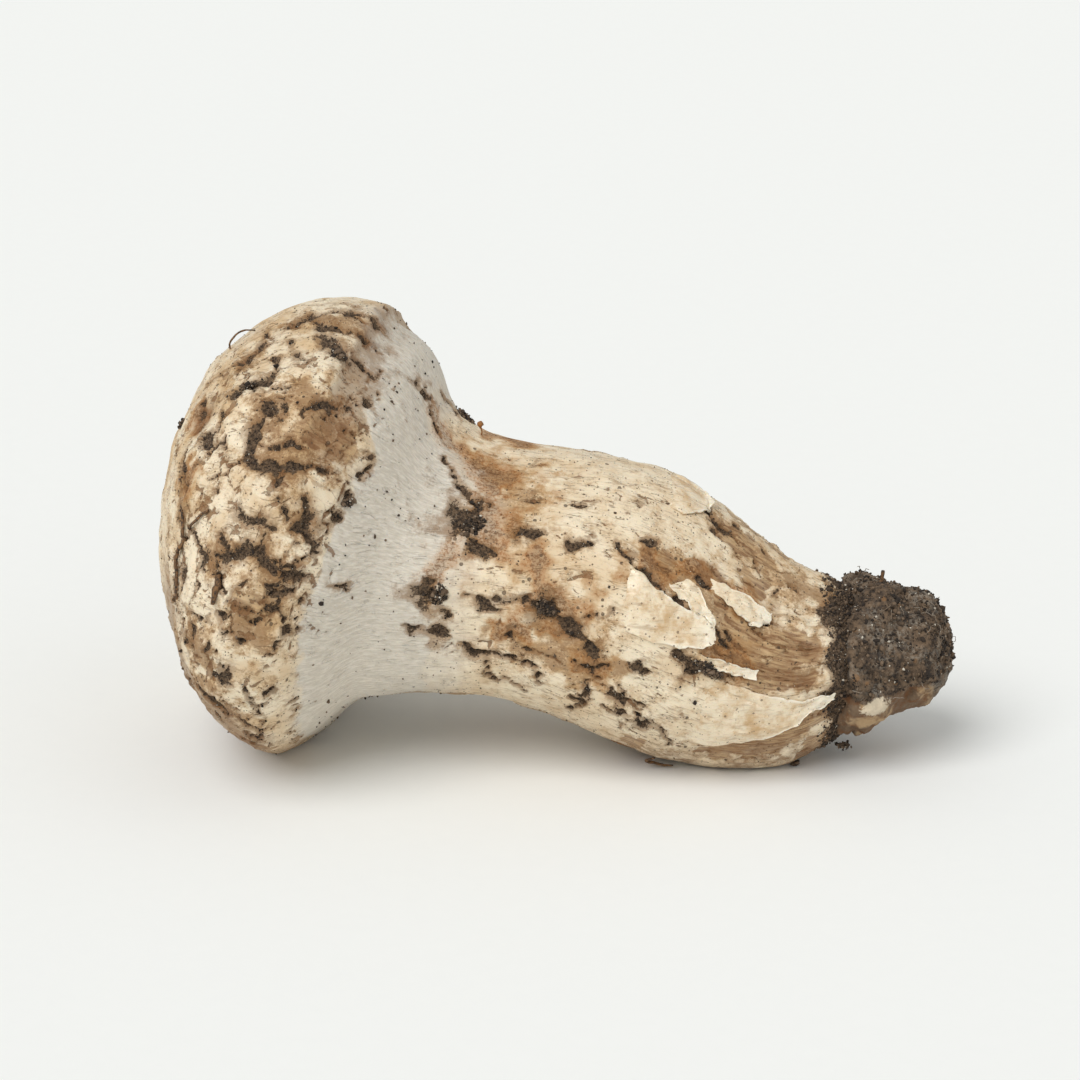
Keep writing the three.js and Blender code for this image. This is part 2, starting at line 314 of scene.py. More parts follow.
def reach(points, line, limit):
    """For points within limit mm of a line: their indices, distances, and how far along it they lie."""
    flat = points.reshape(-1, 3)
    low, high = line.min(axis=0) - limit, line.max(axis=0) + limit
    near = np.flatnonzero(np.all((flat > low) & (flat < high), axis=1))
    distance, share = np.empty(len(near)), np.empty(len(near))
    for part in np.array_split(np.arange(len(near)), max(len(near) * len(line) // 4_000_000, 1)):
        gap = np.linalg.norm(flat[near[part], None] - line[None], axis=2)
        closest = gap.argmin(axis=1)
        distance[part] = gap[np.arange(len(part)), closest]
        share[part] = closest / max(len(line) - 1, 1)
    return near, distance, share


def inked(skin, strokes, wobble, seed, tail=2.6, thicker=1.0):
    """How deep in a stroke each grid point lies: 1 on its middle line, 0.5 at its edge, then a thin tail."""
    shaken = skin.points + wobble * np.stack(
        [fractal(skin.points, 1.6, seed + k, 2) for k in range(3)], axis=-1
    )
    swell = np.exp(0.9 * fractal(skin.points, 2.2, seed + 5, 3)).ravel()
    ink = np.zeros(skin.points[..., 0].size)
    end = 1.0 / (1.0 + (2.0 * tail) ** 1.7)
    for width, places in strokes:
        width *= thicker
        near, distance, share = reach(shaken, stroke_line(skin, places), tail * width)
        taper = 0.35 + 0.65 * np.sqrt(np.clip(4.0 * share * (1.0 - share), 0.0, 1.0))
        if len(places) < 2:
            taper = 1.0
        ratio = distance / (0.5 * width * taper * swell[near])
        depth = (1.0 / (1.0 + ratio**1.7) - end) / (1.0 - end)
        ink[near] = np.maximum(ink[near], depth)
    return np.clip(ink, 0.0, 1.0).reshape(skin.points.shape[:-1])


def wandering(rng, count, along, around, width, length, slope):
    """Strokes that start anywhere in a range of places and wander off in short steps."""
    strokes = []
    for _ in range(count):
        place = np.array([rng.uniform(*along), rng.uniform(*around)])
        turn = slope + rng.normal(0.0, 0.35)
        places = [tuple(place)]
        for _ in range(rng.integers(2, 5)):
            turn += rng.normal(0.0, 0.5)
            step = rng.uniform(*length)
            place = place + step * np.array([math.cos(turn), 2.2 * math.sin(turn)])
            place[0] = min(max(place[0], 3.0), 150.0)
            places.append(tuple(place))
        strokes.append((rng.uniform(*width), places))
    return strokes


# ---- What lies on the skin: (width in mm, places) for a stroke ----

SOIL = [
    (1.2, [(39, 8), (41, 2), (44, 0), (47, 3)]),  # crest of the cap
    (2.0, [(40, 6), (42, 1), (46, 358), (50, 358)]),
    (1.3, [(41, 6), (43, 9), (45, 10)]),
    (0.9, [(43, 11), (46, 10), (49, 8), (52, 5)]),
    (1.6, [(43, 14), (45, 17), (47, 19), (49, 21)]),
    (0.5, [(48, 19), (50, 16), (53, 18), (56, 24)]),
    (1.7, [(53, 26), (55, 28)]),
    (1.1, [(36, 17), (38, 15)]),  # shoulder
    (0.9, [(27, 24), (30, 23), (33, 21), (36, 19)]),
    (0.5, [(35, 22), (36, 26), (35, 30)]),
    (0.8, [(39, 23), (40, 28), (40, 33)]),
    (1.7, [(39, 34), (41, 35)]),
    (1.2, [(35, 38), (38, 36), (39, 34)]),
    (0.6, [(41, 35), (43, 39), (44, 42), (43, 45)]),
    (1.3, [(41, 40), (42, 44), (41, 48), (41, 54)]),
    (0.6, [(37, 43), (35, 46), (31, 52)]),
    (1.2, [(32, 49), (33, 53)]),
    (1.6, [(41, 55), (44, 57), (47, 55), (50, 53), (53, 52)]),  # the great crevice
    (1.1, [(43, 52), (46, 50), (50, 50)]),
    (0.5, [(41, 55), (38, 58), (36, 62)]),
    (1.0, [(50, 35), (48, 38), (46, 41)]),
    (0.5, [(52, 45), (50, 48), (50, 51)]),
    (0.4, [(38, 61), (37, 67)]),
    (1.1, [(27, 61), (29, 60)]),
    (1.1, [(29, 66), (31, 64)]),
    (0.8, [(29, 70), (29, 73)]),
    (0.9, [(33, 76), (32, 82), (34, 88), (34, 94)]),
    (1.1, [(42, 67), (44, 68.5), (46, 69), (49, 69)]),  # under the upper pillow
    (1.7, [(51, 61), (52, 65), (51, 68)]),
    (1.2, [(41, 79), (44, 78), (46.5, 75.5), (49, 77), (51, 79)]),  # chevron
    (1.0, [(53, 78), (55, 77)]),
    (1.0, [(50, 82), (53, 82), (55, 81)]),
    (1.7, [(56, 60), (58, 61)]),
    (0.9, [(43, 92), (45, 91)]),
    (0.8, [(39, 96), (39, 99), (41, 107)]),  # folds low on the cap
    (0.7, [(35, 99), (37, 104), (40, 108)]),
    (1.0, [(38, 112), (42, 115), (46, 119), (49, 122)]),
    (0.6, [(45, 106), (46, 108), (49, 108)]),
    (0.9, [(47, 104), (48, 107)]),
    (0.5, [(46, 91), (48, 95), (49, 99)]),
    (0.8, [(50, 90), (50, 91)]),
    (1.2, [(54, 90), (55, 93)]),
    (0.6, [(54, 94), (52, 97)]),
    (1.3, [(53, 110), (55, 109)]),
    (0.5, [(51, 113), (53, 114), (55, 112)]),
    (1.3, [(50, 121), (52, 123), (54, 127)]),
    (1.8, [(58, 122), (58, 124)]),
    (0.7, [(57, 40), (59, 44), (58, 49)]),  # notch in the rim
    (3.0, [(61, 1), (62, 4)]),  # neck
    (1.0, [(64, 350), (68, 345), (70, 350)]),
    (0.8, [(63, 3), (66, 8), (69, 12)]),
    (0.8, [(70, 19), (72, 24), (74, 31)]),
    (1.8, [(74, 32), (76, 36), (78, 41)]),
    (3.2, [(78, 43), (77, 48), (78, 52)]),
    (1.2, [(78, 56), (80, 59), (83, 64)]),
    (1.0, [(83, 55), (85, 52), (88, 51)]),
    (1.2, [(84, 8), (85, 8)]),
    (1.3, [(91, 53), (93, 53), (95, 51)]),
    (2.4, [(75, 76), (75, 80), (77, 82)]),
    (0.8, [(76, 86), (78, 88)]),
    (1.3, [(79, 79), (82, 81), (85, 85)]),
    (0.8, [(84, 80), (87, 80)]),
    (2.4, [(88, 79), (90, 80), (93, 82)]),
    (2.0, [(93, 84), (96, 88), (100, 95)]),
    (0.9, [(72, 92), (74, 96), (76, 97)]),
    (1.6, [(76, 98), (79, 98)]),
    (0.9, [(80, 102), (84, 106), (89, 108)]),
    (1.0, [(98, 48), (99, 51), (101, 55)]),  # torn scales of the stem
    (1.0, [(101, 55), (104, 60), (109, 62), (114, 62)]),
    (1.2, [(101, 44), (104, 43)]),
    (1.3, [(111, 45), (113, 50)]),
    (2.0, [(123, 49), (124, 52)]),
    (1.0, [(109, 3), (112, 12), (116, 12)]),
    (1.9, [(111, 80), (114, 82), (116, 83)]),
    (0.7, [(117, 82), (121, 80)]),
    (1.2, [(105, 90), (108, 94)]),
]

CRACKS = [
    (0.35, [(52, 72), (54, 80), (55, 90), (56, 98)]),  # inside the rim of the cap
    (0.3, [(42, 2), (46, 3), (49, 10)]),
    (0.3, [(45, 5), (48, 6), (50, 12)]),
    (0.35, [(53, 352), (56, 350), (59, 355)]),
    (0.3, [(40, 80), (43, 81), (47, 79)]),
    (0.35, [(41, 84), (45, 82), (49, 81)]),
    (0.3, [(31, 96), (34, 103), (37, 109)]),
    (0.3, [(36, 112), (39, 117), (44, 122)]),
    (0.35, [(42, 108), (44, 113), (48, 117)]),
    (0.3, [(50, 105), (53, 107), (56, 104)]),
    (0.3, [(46, 110), (50, 117), (54, 118)]),
    (0.35, [(51, 125), (54, 130), (57, 128)]),
    (0.35, [(34, 25), (37, 23), (39, 19)]),
    (0.3, [(30, 30), (34, 29), (38, 26)]),
    (0.4, [(45, 91), (49, 88), (54, 91)]),
    (0.3, [(66, 10), (70, 13), (74, 20)]),
    (0.4, [(79, 70), (84, 67), (88, 70)]),
    (0.3, [(97, 63), (94, 67), (91, 71)]),
    (0.4, [(90, 100), (96, 104), (104, 108)]),
    (0.35, [(114, 94), (117, 100), (120, 103)]),
    (0.35, [(108, 92), (110, 98), (112, 103)]),
    (0.4, [(104, 40), (108, 41), (110, 46)]),
    (0.4, [(110, 30), (113, 38), (116, 44)]),
    (0.4, [(117, 62), (121, 68), (127, 66)]),
    (0.4, [(120, 54), (125, 60), (132, 56)]),
    (0.35, [(122, 30), (126, 36), (131, 33)]),
]

RUST = [
    (4.6, [(26, 37), (28, 46)]),
    (3.2, [(31, 56), (30, 61), (31, 66)]),
    (4.0, [(62, 2), (66, 6), (70, 9), (75, 12)]),
    (6.0, [(72, 8), (77, 18), (79, 28), (80, 36)]),
    (6.5, [(78, 36), (80, 46), (83, 58)]),
    (4.0, [(77, 62), (75, 70), (75, 78)]),
    (3.5, [(88, 58), (88, 66), (90, 73)]),
    (5.5, [(88, 72), (92, 77), (96, 84)]),
    (1.3, [(88, 91), (91, 90), (95, 90)]),
    (3.0, [(84, 93), (90, 95)]),
    (3.5, [(97, 103), (102, 97)]),
    (5.0, [(103, 47), (104, 53), (107, 57)]),
    (3.0, [(109, 39), (111, 43), (113, 49)]),
    (3.0, [(116, 47), (119, 45), (122, 43)]),
    (3.0, [(114, 72), (119, 74), (123, 73)]),
]

# Brown where an outer layer has torn away.
BARE = [
    (6.0, [(102, 48), (106, 53), (109, 59)]),
    (5.0, [(110, 40), (114, 46), (116, 54)]),
    (7.0, [(117, 58), (124, 62), (133, 60)]),
    (6.5, [(116, 72), (124, 73), (134, 74)]),
    (5.5, [(120, 130), (127, 124), (133, 108), (138, 98)]),
    (5.0, [(112, 8), (117, 12), (124, 14)]),
    (4.0, [(118, 28), (122, 38)]),
    (6.0, [(47, 137), (54, 140)]),
    (5.0, [(46, 45), (51, 47)]),
    (4.0, [(52, 39), (55, 45)]),
    (4.0, [(50, 79), (54, 75)]),
    (4.0, [(46, 88), (52, 86)]),
]

PALE = [
    (4.0, [(34, 28), (37, 32)]),
    (2.2, [(42, 3), (46, 5), (49, 9)]),
    (2.2, [(47, 12), (51, 12)]),
    (3.5, [(43, 24), (47, 27)]),
    (2.5, [(38, 37), (40, 40)]),
    (2.6, [(35, 46), (38, 49)]),
    (4.0, [(44, 61), (48, 60)]),
    (3.0, [(42, 71), (44, 74)]),
    (3.0, [(36, 81), (37, 88)]),
    (2.6, [(27, 84), (28, 92)]),
    (3.0, [(44, 82), (48, 81)]),
    (3.0, [(41, 95), (43, 101)]),
    (3.0, [(45, 112), (52, 110)]),
    (4.0, [(80, 66), (84, 72)]),
    (3.0, [(82, 88), (87, 87)]),
    (4.0, [(103, 4), (107, 14)]),
    (3.0, [(85, 355), (90, 358)]),
    (5.0, [(95, 30), (102, 33)]),
    (3.0, [(126, 44), (130, 42)]),
]

# Broad washes of fine dirt.
DIRT = [
    (11.0, [(44, 34), (50, 43), (54, 50)]),
    (8.0, [(36, 18), (32, 25)]),
    (9.0, [(46, 76), (52, 79)]),
    (11.0, [(47, 90), (52, 96)]),
    (8.0, [(41, 38), (42, 50)]),
    (10.0, [(41, 55), (50, 54)]),
    (6.0, [(38, 6), (44, 4), (50, 8)]),
    (7.0, [(28, 58), (31, 74)]),
    (7.0, [(51, 60), (52, 68)]),
    (8.0, [(50, 120), (40, 112)]),
    (9.0, [(75, 10), (82, 30), (84, 50)]),
    (9.0, [(104, 48), (118, 58), (134, 62)]),
    (10.0, [(118, 72), (134, 74)]),
    (7.0, [(90, 92), (104, 96)]),
    (8.0, [(122, 124), (134, 104)]),
    (8.0, [(110, 8), (126, 16), (136, 26)]),
    (7.0, [(86, 96), (100, 106)]),
    (6.0, [(40, 82), (44, 74)]),
    (7.0, [(38, 98), (44, 104)]),
]

# Soft swellings of the cap: place, radius and height in mm.
PILLOWS = [
    ((46, 62), 5.5, 1.1),
    ((42, 74), 4.5, 0.8),
    ((50, 58), 3.0, 0.5),
    ((44, 30), 6.0, 0.5),
    ((36, 40), 4.5, 0.6),
    ((47, 85), 4.5, 0.7),
    ((38, 90), 4.0, 0.6),
    ((44, 100), 4.0, 0.6),
    ((52, 96), 4.0, 0.5),
    ((48, 113), 4.0, 0.5),
    ((55, 104), 3.5, 0.4),
    ((33, 66), 4.0, 0.5),
    ((28, 42), 4.0, -0.8),
    ((126, 60), 2.2, 0.4),
    ((130, 48), 2.2, 0.4),
    ((86, 70), 7.0, 0.4),
]

# Where the veil starts and ends along the skin, at angles round it.
VEIL_START = [(0, 51), (12, 53), (24, 55), (31, 53), (42, 60), (50, 57.5), (70, 57), (85, 56.5),
              (100, 57.5), (112, 59), (140, 59), (180, 58), (250, 57), (310, 56), (345, 49)]
VEIL_END = [(0, 62), (10, 66), (20, 71), (35, 75), (50, 76), (65, 74), (80, 74), (110, 77),
            (180, 76), (270, 75), (330, 66)]

# Torn scales: upper and lower edge from root to tip, and how far the tip lifts in mm.
TORN_SCALES = {
    "broad": ([(98, 49), (101, 56), (105, 61), (110, 63), (114, 64), (116, 68)],
              [(98, 78), (103, 80), (108, 80), (112, 77), (115, 72), (116, 69)], 0.5),
    "white_upper": ([(112, 43), (116, 44), (120, 44), (124, 46)],
                    [(113, 49), (117, 53), (121, 55), (124, 51)], 0.5),
    "white_lower": ([(108, 50), (111, 52), (113, 57), (115, 62)],
                    [(106, 54), (108, 58), (111, 61), (115, 63)], 0.6),
    "tongue": ([(111, 77), (116, 76), (120, 75), (124, 75)],
               [(111, 81), (116, 80), (120, 79), (124, 78)], 0.5),
    "long": ([(112, 87), (120, 84), (128, 86), (134, 88), (137, 88)],
             [(112, 118), (120, 121), (127, 113), (132, 100), (137, 90)], 0.6),
    "top": ([(101, 350), (105, 350), (108, 352), (109, 356)],
            [(102, 18), (106, 19), (109, 12), (110, 2)], 0.7),
}


# ---- Sculpting the skin ----

def bump(angle, middle, width):
    """1 at an angle round the body, falling to 0 over width degrees on each side."""
    gap = np.abs((angle - middle + 180.0) % 360.0 - 180.0)
    return 1.0 - smoothstep(0.3 * width, width, gap)


def veil_depth(skin):
    """How far inside the veil each grid point lies, in mm; below zero outside it."""
    ends = []
    for table in (VEIL_START, VEIL_END):
        around, along = zip(*table)
        ends.append(np.interp(skin.around, around, along, period=360.0)[None, :])
    ragged = 0.7 * fractal(skin.points, 4.0, 71, 3)
    return np.minimum(skin.along[:, None] - ends[0], ends[1] - skin.along[:, None]) + ragged


def rim_strokes(rng):
    """Short soil lines caught along the rim, where the cap's skin ends at the veil."""
    strokes = []
    for around in np.arange(24.0, 360.0, 3.5):
        if rng.uniform() < 0.45:
            start = np.interp(around, *zip(*VEIL_START), period=360.0) - rng.uniform(-0.2, 1.2)
            turn = around + rng.uniform(1.0, 3.5)
            width = rng.uniform(0.3, 1.0)
            strokes.append((width, [(start, around), (start + rng.uniform(-1.5, 0.8), turn)]))
    return strokes


def near_wrinkles(rng):
    """Fine lines between the marks of the near side: across the cap and along the stem."""
    lines = wandering(rng, 210, (14, 57), (0, 150), (0.26, 0.5), (1.2, 3.0), 1.0)
    lines += wandering(rng, 40, (26, 52), (80, 150), (0.25, 0.5), (2.0, 4.0), 0.5)
    return lines + wandering(rng, 90, (82, 136), (0, 150), (0.2, 0.4), (1.2, 3.0), 0.15)


def near_soil(rng):
    """Thin soil lines that branch between the marked ones of the near side."""
    lines = wandering(rng, 58, (24, 55), (0, 128), (0.3, 0.55), (2.2, 4.2), 0.9)
    lines += wandering(rng, 26, (84, 112), (86, 122), (0.4, 0.8), (1.0, 2.5), 0.9)
    return lines + wandering(rng, 16, (74, 132), (0, 80), (0.35, 0.6), (0.8, 2.0), 0.6)


def far_strokes(rng):
    """Soil lines, cracks and stains for the sides that are turned away, in the style of the near one."""
    soil = wandering(rng, 34, (14, 56), (150, 340), (0.5, 1.5), (1.5, 3.5), 0.9)
    soil += wandering(rng, 12, (4, 26), (0, 360), (0.4, 1.2), (1.5, 3.0), 0.6)
    soil += wandering(rng, 22, (72, 134), (140, 350), (0.5, 1.9), (1.5, 4.0), 0.2)
    cracks = wandering(rng, 90, (12, 57), (0, 360), (0.25, 0.4), (1.5, 3.5), 1.1)
    cracks += wandering(rng, 90, (70, 136), (0, 360), (0.22, 0.4), (2.0, 5.0), 0.1)
    rust = wandering(rng, 16, (20, 56), (150, 340), (2.0, 4.5), (2.0, 4.0), 0.8)
    rust += wandering(rng, 18, (72, 132), (130, 350), (2.0, 5.0), (2.0, 5.0), 0.3)
    bare = wandering(rng, 9, (108, 136), (130, 345), (3.0, 6.0), (3.0, 5.0), 0.2)
    return soil, cracks, rust, bare


@functools.lru_cache(maxsize=1)
def sculpted_skin(crevice_depth):
    """The skin with its crevices, pillows and fibres as relief, and the marks that colour it."""
    rings = read_rings(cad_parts["mushroom_body"])
    skin = Skin(rings, SKIN_RINGS, SKIN_SEGMENTS)
    rng = np.random.default_rng(11)
    far_soil, far_cracks, far_rust, far_bare = far_strokes(rng)
    far_soil += rim_strokes(rng) + near_soil(rng)
    far_cracks += near_wrinkles(rng)
    marks = {
        "soil": inked(skin, SOIL + far_soil, 0.7, 21, thicker=1.15),
        "crack": inked(skin, CRACKS + far_cracks, 0.25, 31),
        "rust": inked(skin, RUST + far_rust, 1.1, 41, 1.7),
        "bare": inked(skin, BARE + far_bare, 0.9, 51, 1.2),
        "pale": inked(skin, PALE, 0.7, 61, 1.3),
        "dirt": inked(skin, DIRT + far_rust, 1.2, 66, 1.1),
        "veil": veil_depth(skin),
    }
    base = skin.points.copy()
    on_veil = smoothstep(-0.5, 0.8, marks["veil"])
    on_cap = 1.0 - smoothstep(54.0, 60.0, skin.along)[:, None]
    on_stem = smoothstep(70.0, 80.0, skin.along)[:, None]

    height = 0.32 * fractal(base, 9.0, 81, 3) * (1.0 - 0.6 * on_veil)
    height += 0.1 * fractal(base, 2.4, 82, 3) * (1.0 - on_veil)
    ridged = 1.0 - np.abs(fractal(base * (0.6, 1.0, 0.45), 4.2, 83, 3))
    height += 0.22 * on_cap * (ridged - 0.75) * (1.0 - on_veil)
    fibre = np.stack([base[..., 0] / 7.0, base[..., 1], base[..., 2]], axis=-1)
    height += 0.07 * on_stem * fractal(fibre, 1.3, 84, 2)
    around = skin.around[None, :]
    along = skin.along[:, None]
    height -= 1.7 * bump(around, 0.0, 60.0) * np.exp(-(((along - 51.5) / 4.0) ** 2))
    height -= 1.0 * bump(around, 132.0, 50.0) * np.exp(-(((along - 28.0) / 9.0) ** 2))
    height -= 2.4 * bump(around, 152.0, 45.0) * np.exp(-(((along - 42.0) / 9.0) ** 2))
    for place, radius, rise in PILLOWS:
        middle = skin.look_up(base, [place])
        distance = np.linalg.norm(base - middle[0], axis=2)
        height += 1.35 * rise * np.exp(-((distance / radius) ** 2) * 1.6)
    lips = np.exp(-(((marks["soil"] - 0.22) / 0.12) ** 2))
    height += crevice_depth * (0.25 * lips - 0.85 * smoothstep(0.28, 0.8, marks["soil"]))
    height += 0.35 * smoothstep(0.35, 0.8, marks["soil"]) * np.abs(fractal(base, 1.0, 85, 2))
    height -= 0.5 * crevice_depth * smoothstep(0.2, 0.9, marks["crack"])
    height -= 0.35 * smoothstep(0.1, 0.6, marks["bare"]) * on_stem
    height += 0.16 * smoothstep(0.1, 0.7, marks["pale"])
    height -= 0.35 * np.exp(-((marks["veil"] / 0.8) ** 2)) * on_cap * (1.0 - bump(around, 0.0, 40.0))

    ends = smoothstep(0.0, 6.0, skin.along) * (1.0 - smoothstep(150.0, 157.0, skin.along))
    resting = smoothstep(0.0, 2.5, base[..., 2])
    height *= ends[:, None] * resting
    skin.points = base + height[..., None] * skin.normals
    skin.points[..., 2] = np.maximum(skin.points[..., 2], 0.0)
    skin.points[0] = skin.points[0].mean(axis=0)
    skin.points[-1] = skin.points[-1].mean(axis=0)
    skin.refresh()
    cake = base[..., 0] + 2.0 * fractal(base, 3.0, 68, 3)
    marks["soil"] = np.maximum(marks["soil"], 0.95 * smoothstep(38.5, 42.0, cake))
    # How far the relief sinks, in mm, up to 1.5: the skin material paints shade there.
    marks["hollow_shade"] = np.clip(-height, 0.0, 1.5)
    return skin, marks


# ---- Making objects ----

def only(piece):
    """Leaves one object selected and active."""
    bpy.ops.object.select_all(action="DESELECT")
    piece.select_set(True)
    bpy.context.view_layer.objects.active = piece


def named(name):
    """The object just added, under its name."""
    piece = bpy.context.object
    piece.name = name
    piece.data.name = name
    return piece


def move_points(piece, points):
    """Puts every point of a mesh where the list in metres says."""
    piece.data.vertices.foreach_set("co", np.asarray(points, float).ravel())
    piece.data.update()


def read_points(piece):
    points = np.empty(len(piece.data.vertices) * 3)
    piece.data.vertices.foreach_get("co", points)
    return points.reshape(-1, 3)


def write_mark(piece, name, values):
    """Stores a value or a vector for each point of a piece, for its material to read."""
    values = np.asarray(values, float)
    kind, key = ("FLOAT_VECTOR", "vector") if values.ndim == 2 else ("FLOAT", "value")
    piece.data.attributes.new(name, kind, "POINT").data.foreach_set(key, values.ravel())


def apply_modifiers(piece):
    only(piece)
    for modifier in list(piece.modifiers):
        bpy.ops.object.modifier_apply(modifier=modifier.name)


def dress(piece, material, slot, *nodes):
    """Gives a piece its material and its place in the part."""
    piece.data.materials.clear()
    piece.data.materials.append(material)
    only(piece)
    bpy.ops.object.shade_smooth()
    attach(piece, "root")
    if nodes:
        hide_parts(*nodes)


def thread(name, points, radii, sides=2):
    """A round thread through points in mm with a radius at each, its ends closed."""
    bpy.ops.object.select_all(action="DESELECT")
    bpy.ops.curve.primitive_bezier_curve_add()
    piece = named(name)
    curve = piece.data
    curve.splines.clear()
    line = curve.splines.new("POLY")
    line.points.add(len(points) - 1)
    for point, place, radius in zip(line.points, points, radii):
        point.co = (*(np.asarray(place) * MM), 1.0)
        point.radius = radius
    curve.dimensions = "3D"
    curve.bevel_depth = MM
    curve.bevel_resolution = sides
    curve.use_fill_caps = True
    only(piece)
    bpy.ops.object.convert(target="MESH")
    piece = named(name)
    bpy.ops.object.mode_set(mode="EDIT")
    bpy.ops.mesh.select_all(action="SELECT")
    bpy.ops.mesh.remove_doubles(threshold=1e-7)
    bpy.ops.mesh.normals_make_consistent(inside=False)
    bpy.ops.object.mode_set(mode="OBJECT")
    return piece


def heap(name, middles, sizes, rng, detail=1):
    """One mesh of many angular crumbs: a rough ball modelled once and copied to each middle in mm."""
    bpy.ops.object.select_all(action="DESELECT")
    bpy.ops.mesh.primitive_ico_sphere_add(subdivisions=detail, radius=1.0)
    piece = named(name)
    ball = read_points(piece)
    faces = np.array([face.vertices[:] for face in piece.data.polygons])
    count = len(middles)
    tone = rng.uniform(0.0, 1.0, count)
    sizes = np.asarray(sizes) * np.where(tone > SANDY, 0.6, 1.0)
    stretch = rng.uniform(0.55, 1.35, (count, 1, 3)) * sizes[:, None, None]
    rough = rng.uniform(0.6, 1.3, (count, len(ball), 1))
    points = np.asarray(middles)[:, None, :] + ball[None] * rough * stretch
    faces = faces[None] + (np.arange(count) * len(ball))[:, None, None]
    mesh = bpy.data.meshes.new(name)
    mesh.from_pydata(points.reshape(-1, 3) * MM, [], faces.reshape(-1, 3).tolist())
    piece.data = mesh
    write_mark(piece, "tone", np.repeat(tone, len(ball)))
    return piece


# ---- Materials ----

def put(tree, kind, settings=None, **inputs):
    """Adds a node; an input is a value or another node's output, under its socket's name or number."""
    node = tree.nodes.new(kind)
    for key, value in (settings or {}).items():
        setattr(node, key, value)
    for key, value in inputs.items():
        socket = node.inputs[int(key[1:]) if key[0] == "n" and key[1:].isdigit() else key.replace("_", " ")]
        if isinstance(value, bpy.types.NodeSocket):
            tree.links.new(value, socket)
        else:
            socket.default_value = value
    return node


def blend(tree, share, first, second, mode="MIX"):
    """Colour first turning into second by share."""
    settings = {"data_type": "RGBA", "blend_type": mode}
    node = put(tree, "ShaderNodeMix", settings, n0=share, n6=first, n7=second)
    return node.outputs[2]


def sums(tree, operation, first, second=0.0):
    return put(tree, "ShaderNodeMath", {"operation": operation}, n0=first, n1=second).outputs[0]


def times(tree, first, second):
    return sums(tree, "MULTIPLY", first, second)


def plus(tree, first, second):
    return sums(tree, "ADD", first, second)


def minus(tree, first, second):
    return sums(tree, "SUBTRACT", first, second)


def rise(tree, value, low, high, top=1.0):
    """0 where value is below low, top where it is above high, and smooth between."""
    settings = {"interpolation_type": "SMOOTHSTEP"}
    node = put(tree, "ShaderNodeMapRange", settings, Value=value, From_Min=low, From_Max=high, To_Max=top)
    return node.outputs["Result"]


def mark(tree, name, output="Fac"):
    """A value that was stored on the piece's points."""
    return put(tree, "ShaderNodeAttribute", {"attribute_name": name}).outputs[output]


def place(tree):
    return put(tree, "ShaderNodeTexCoord").outputs["Object"]


def noise(tree, where, size, detail=4.0, roughness=0.55):
    """Cloudy noise whose lumps are about size mm across."""
    node = put(tree, "ShaderNodeTexNoise", None, Vector=where, Scale=1.0 / (size * MM), Detail=detail,
               Roughness=roughness)
    return node.outputs["Fac"]


def new_group(name, inputs, outputs):
    """An empty node group with named sockets: (name, kind, default) in and (name, kind) out."""
    tree = bpy.data.node_groups.new(name, "ShaderNodeTree")
    for title, kind, default in inputs:
        socket = tree.interface.new_socket(title, in_out="INPUT", socket_type=kind)
        if default is not None:
            socket.default_value = default
    for title, kind in outputs:
        tree.interface.new_socket(title, in_out="OUTPUT", socket_type=kind)
    return tree, tree.nodes.new("NodeGroupInput").outputs, tree.nodes.new("NodeGroupOutput").inputs


def use(tree, name, **inputs):
    """Places a node group in a material, and makes the group where there is none yet."""
    if name not in bpy.data.node_groups:
        GROUPS[name]()
    node = tree.nodes.new("ShaderNodeGroup")
    node.node_tree = bpy.data.node_groups[name]
    for key, value in inputs.items():
        socket = node.inputs[key]
        if isinstance(value, bpy.types.NodeSocket):
            tree.links.new(value, socket)
        else:
            socket.default_value = value
    return node.outputs


def ragged_group():
    """Turns the soft ink of a stroke into a patch that breaks up into grains towards its edge."""
    inputs = [("Ink", "NodeSocketFloat", 0.0), ("Place", "NodeSocketVector", None),
              ("Size", "NodeSocketFloat", 1.0), ("Raggedness", "NodeSocketFloat", 0.5),
              ("Edge", "NodeSocketFloat", 0.45)]
    tree, given, result = new_group("Ragged", inputs, [("Mask", "NodeSocketFloat")])
    scale = sums(tree, "DIVIDE", 1.0 / MM, given["Size"])
    cloud = put(tree, "ShaderNodeTexNoise", None,
                Vector=given["Place"], Scale=scale, Detail=6.0, Roughness=0.72)
    grit = noise(tree, given["Place"], 0.3, 2.0, 0.6)
    swing = plus(tree, minus(tree, cloud.outputs["Fac"], 0.5),
                 times(tree, minus(tree, grit, 0.5), 0.55))
    shifted = plus(tree, given["Ink"], times(tree, swing, given["Raggedness"]))
    over = minus(tree, shifted, given["Edge"])
    inked_at_all = rise(tree, given["Ink"], 0.0, 0.1)
    tree.links.new(times(tree, rise(tree, over, -0.05, 0.05), inked_at_all), result["Mask"])


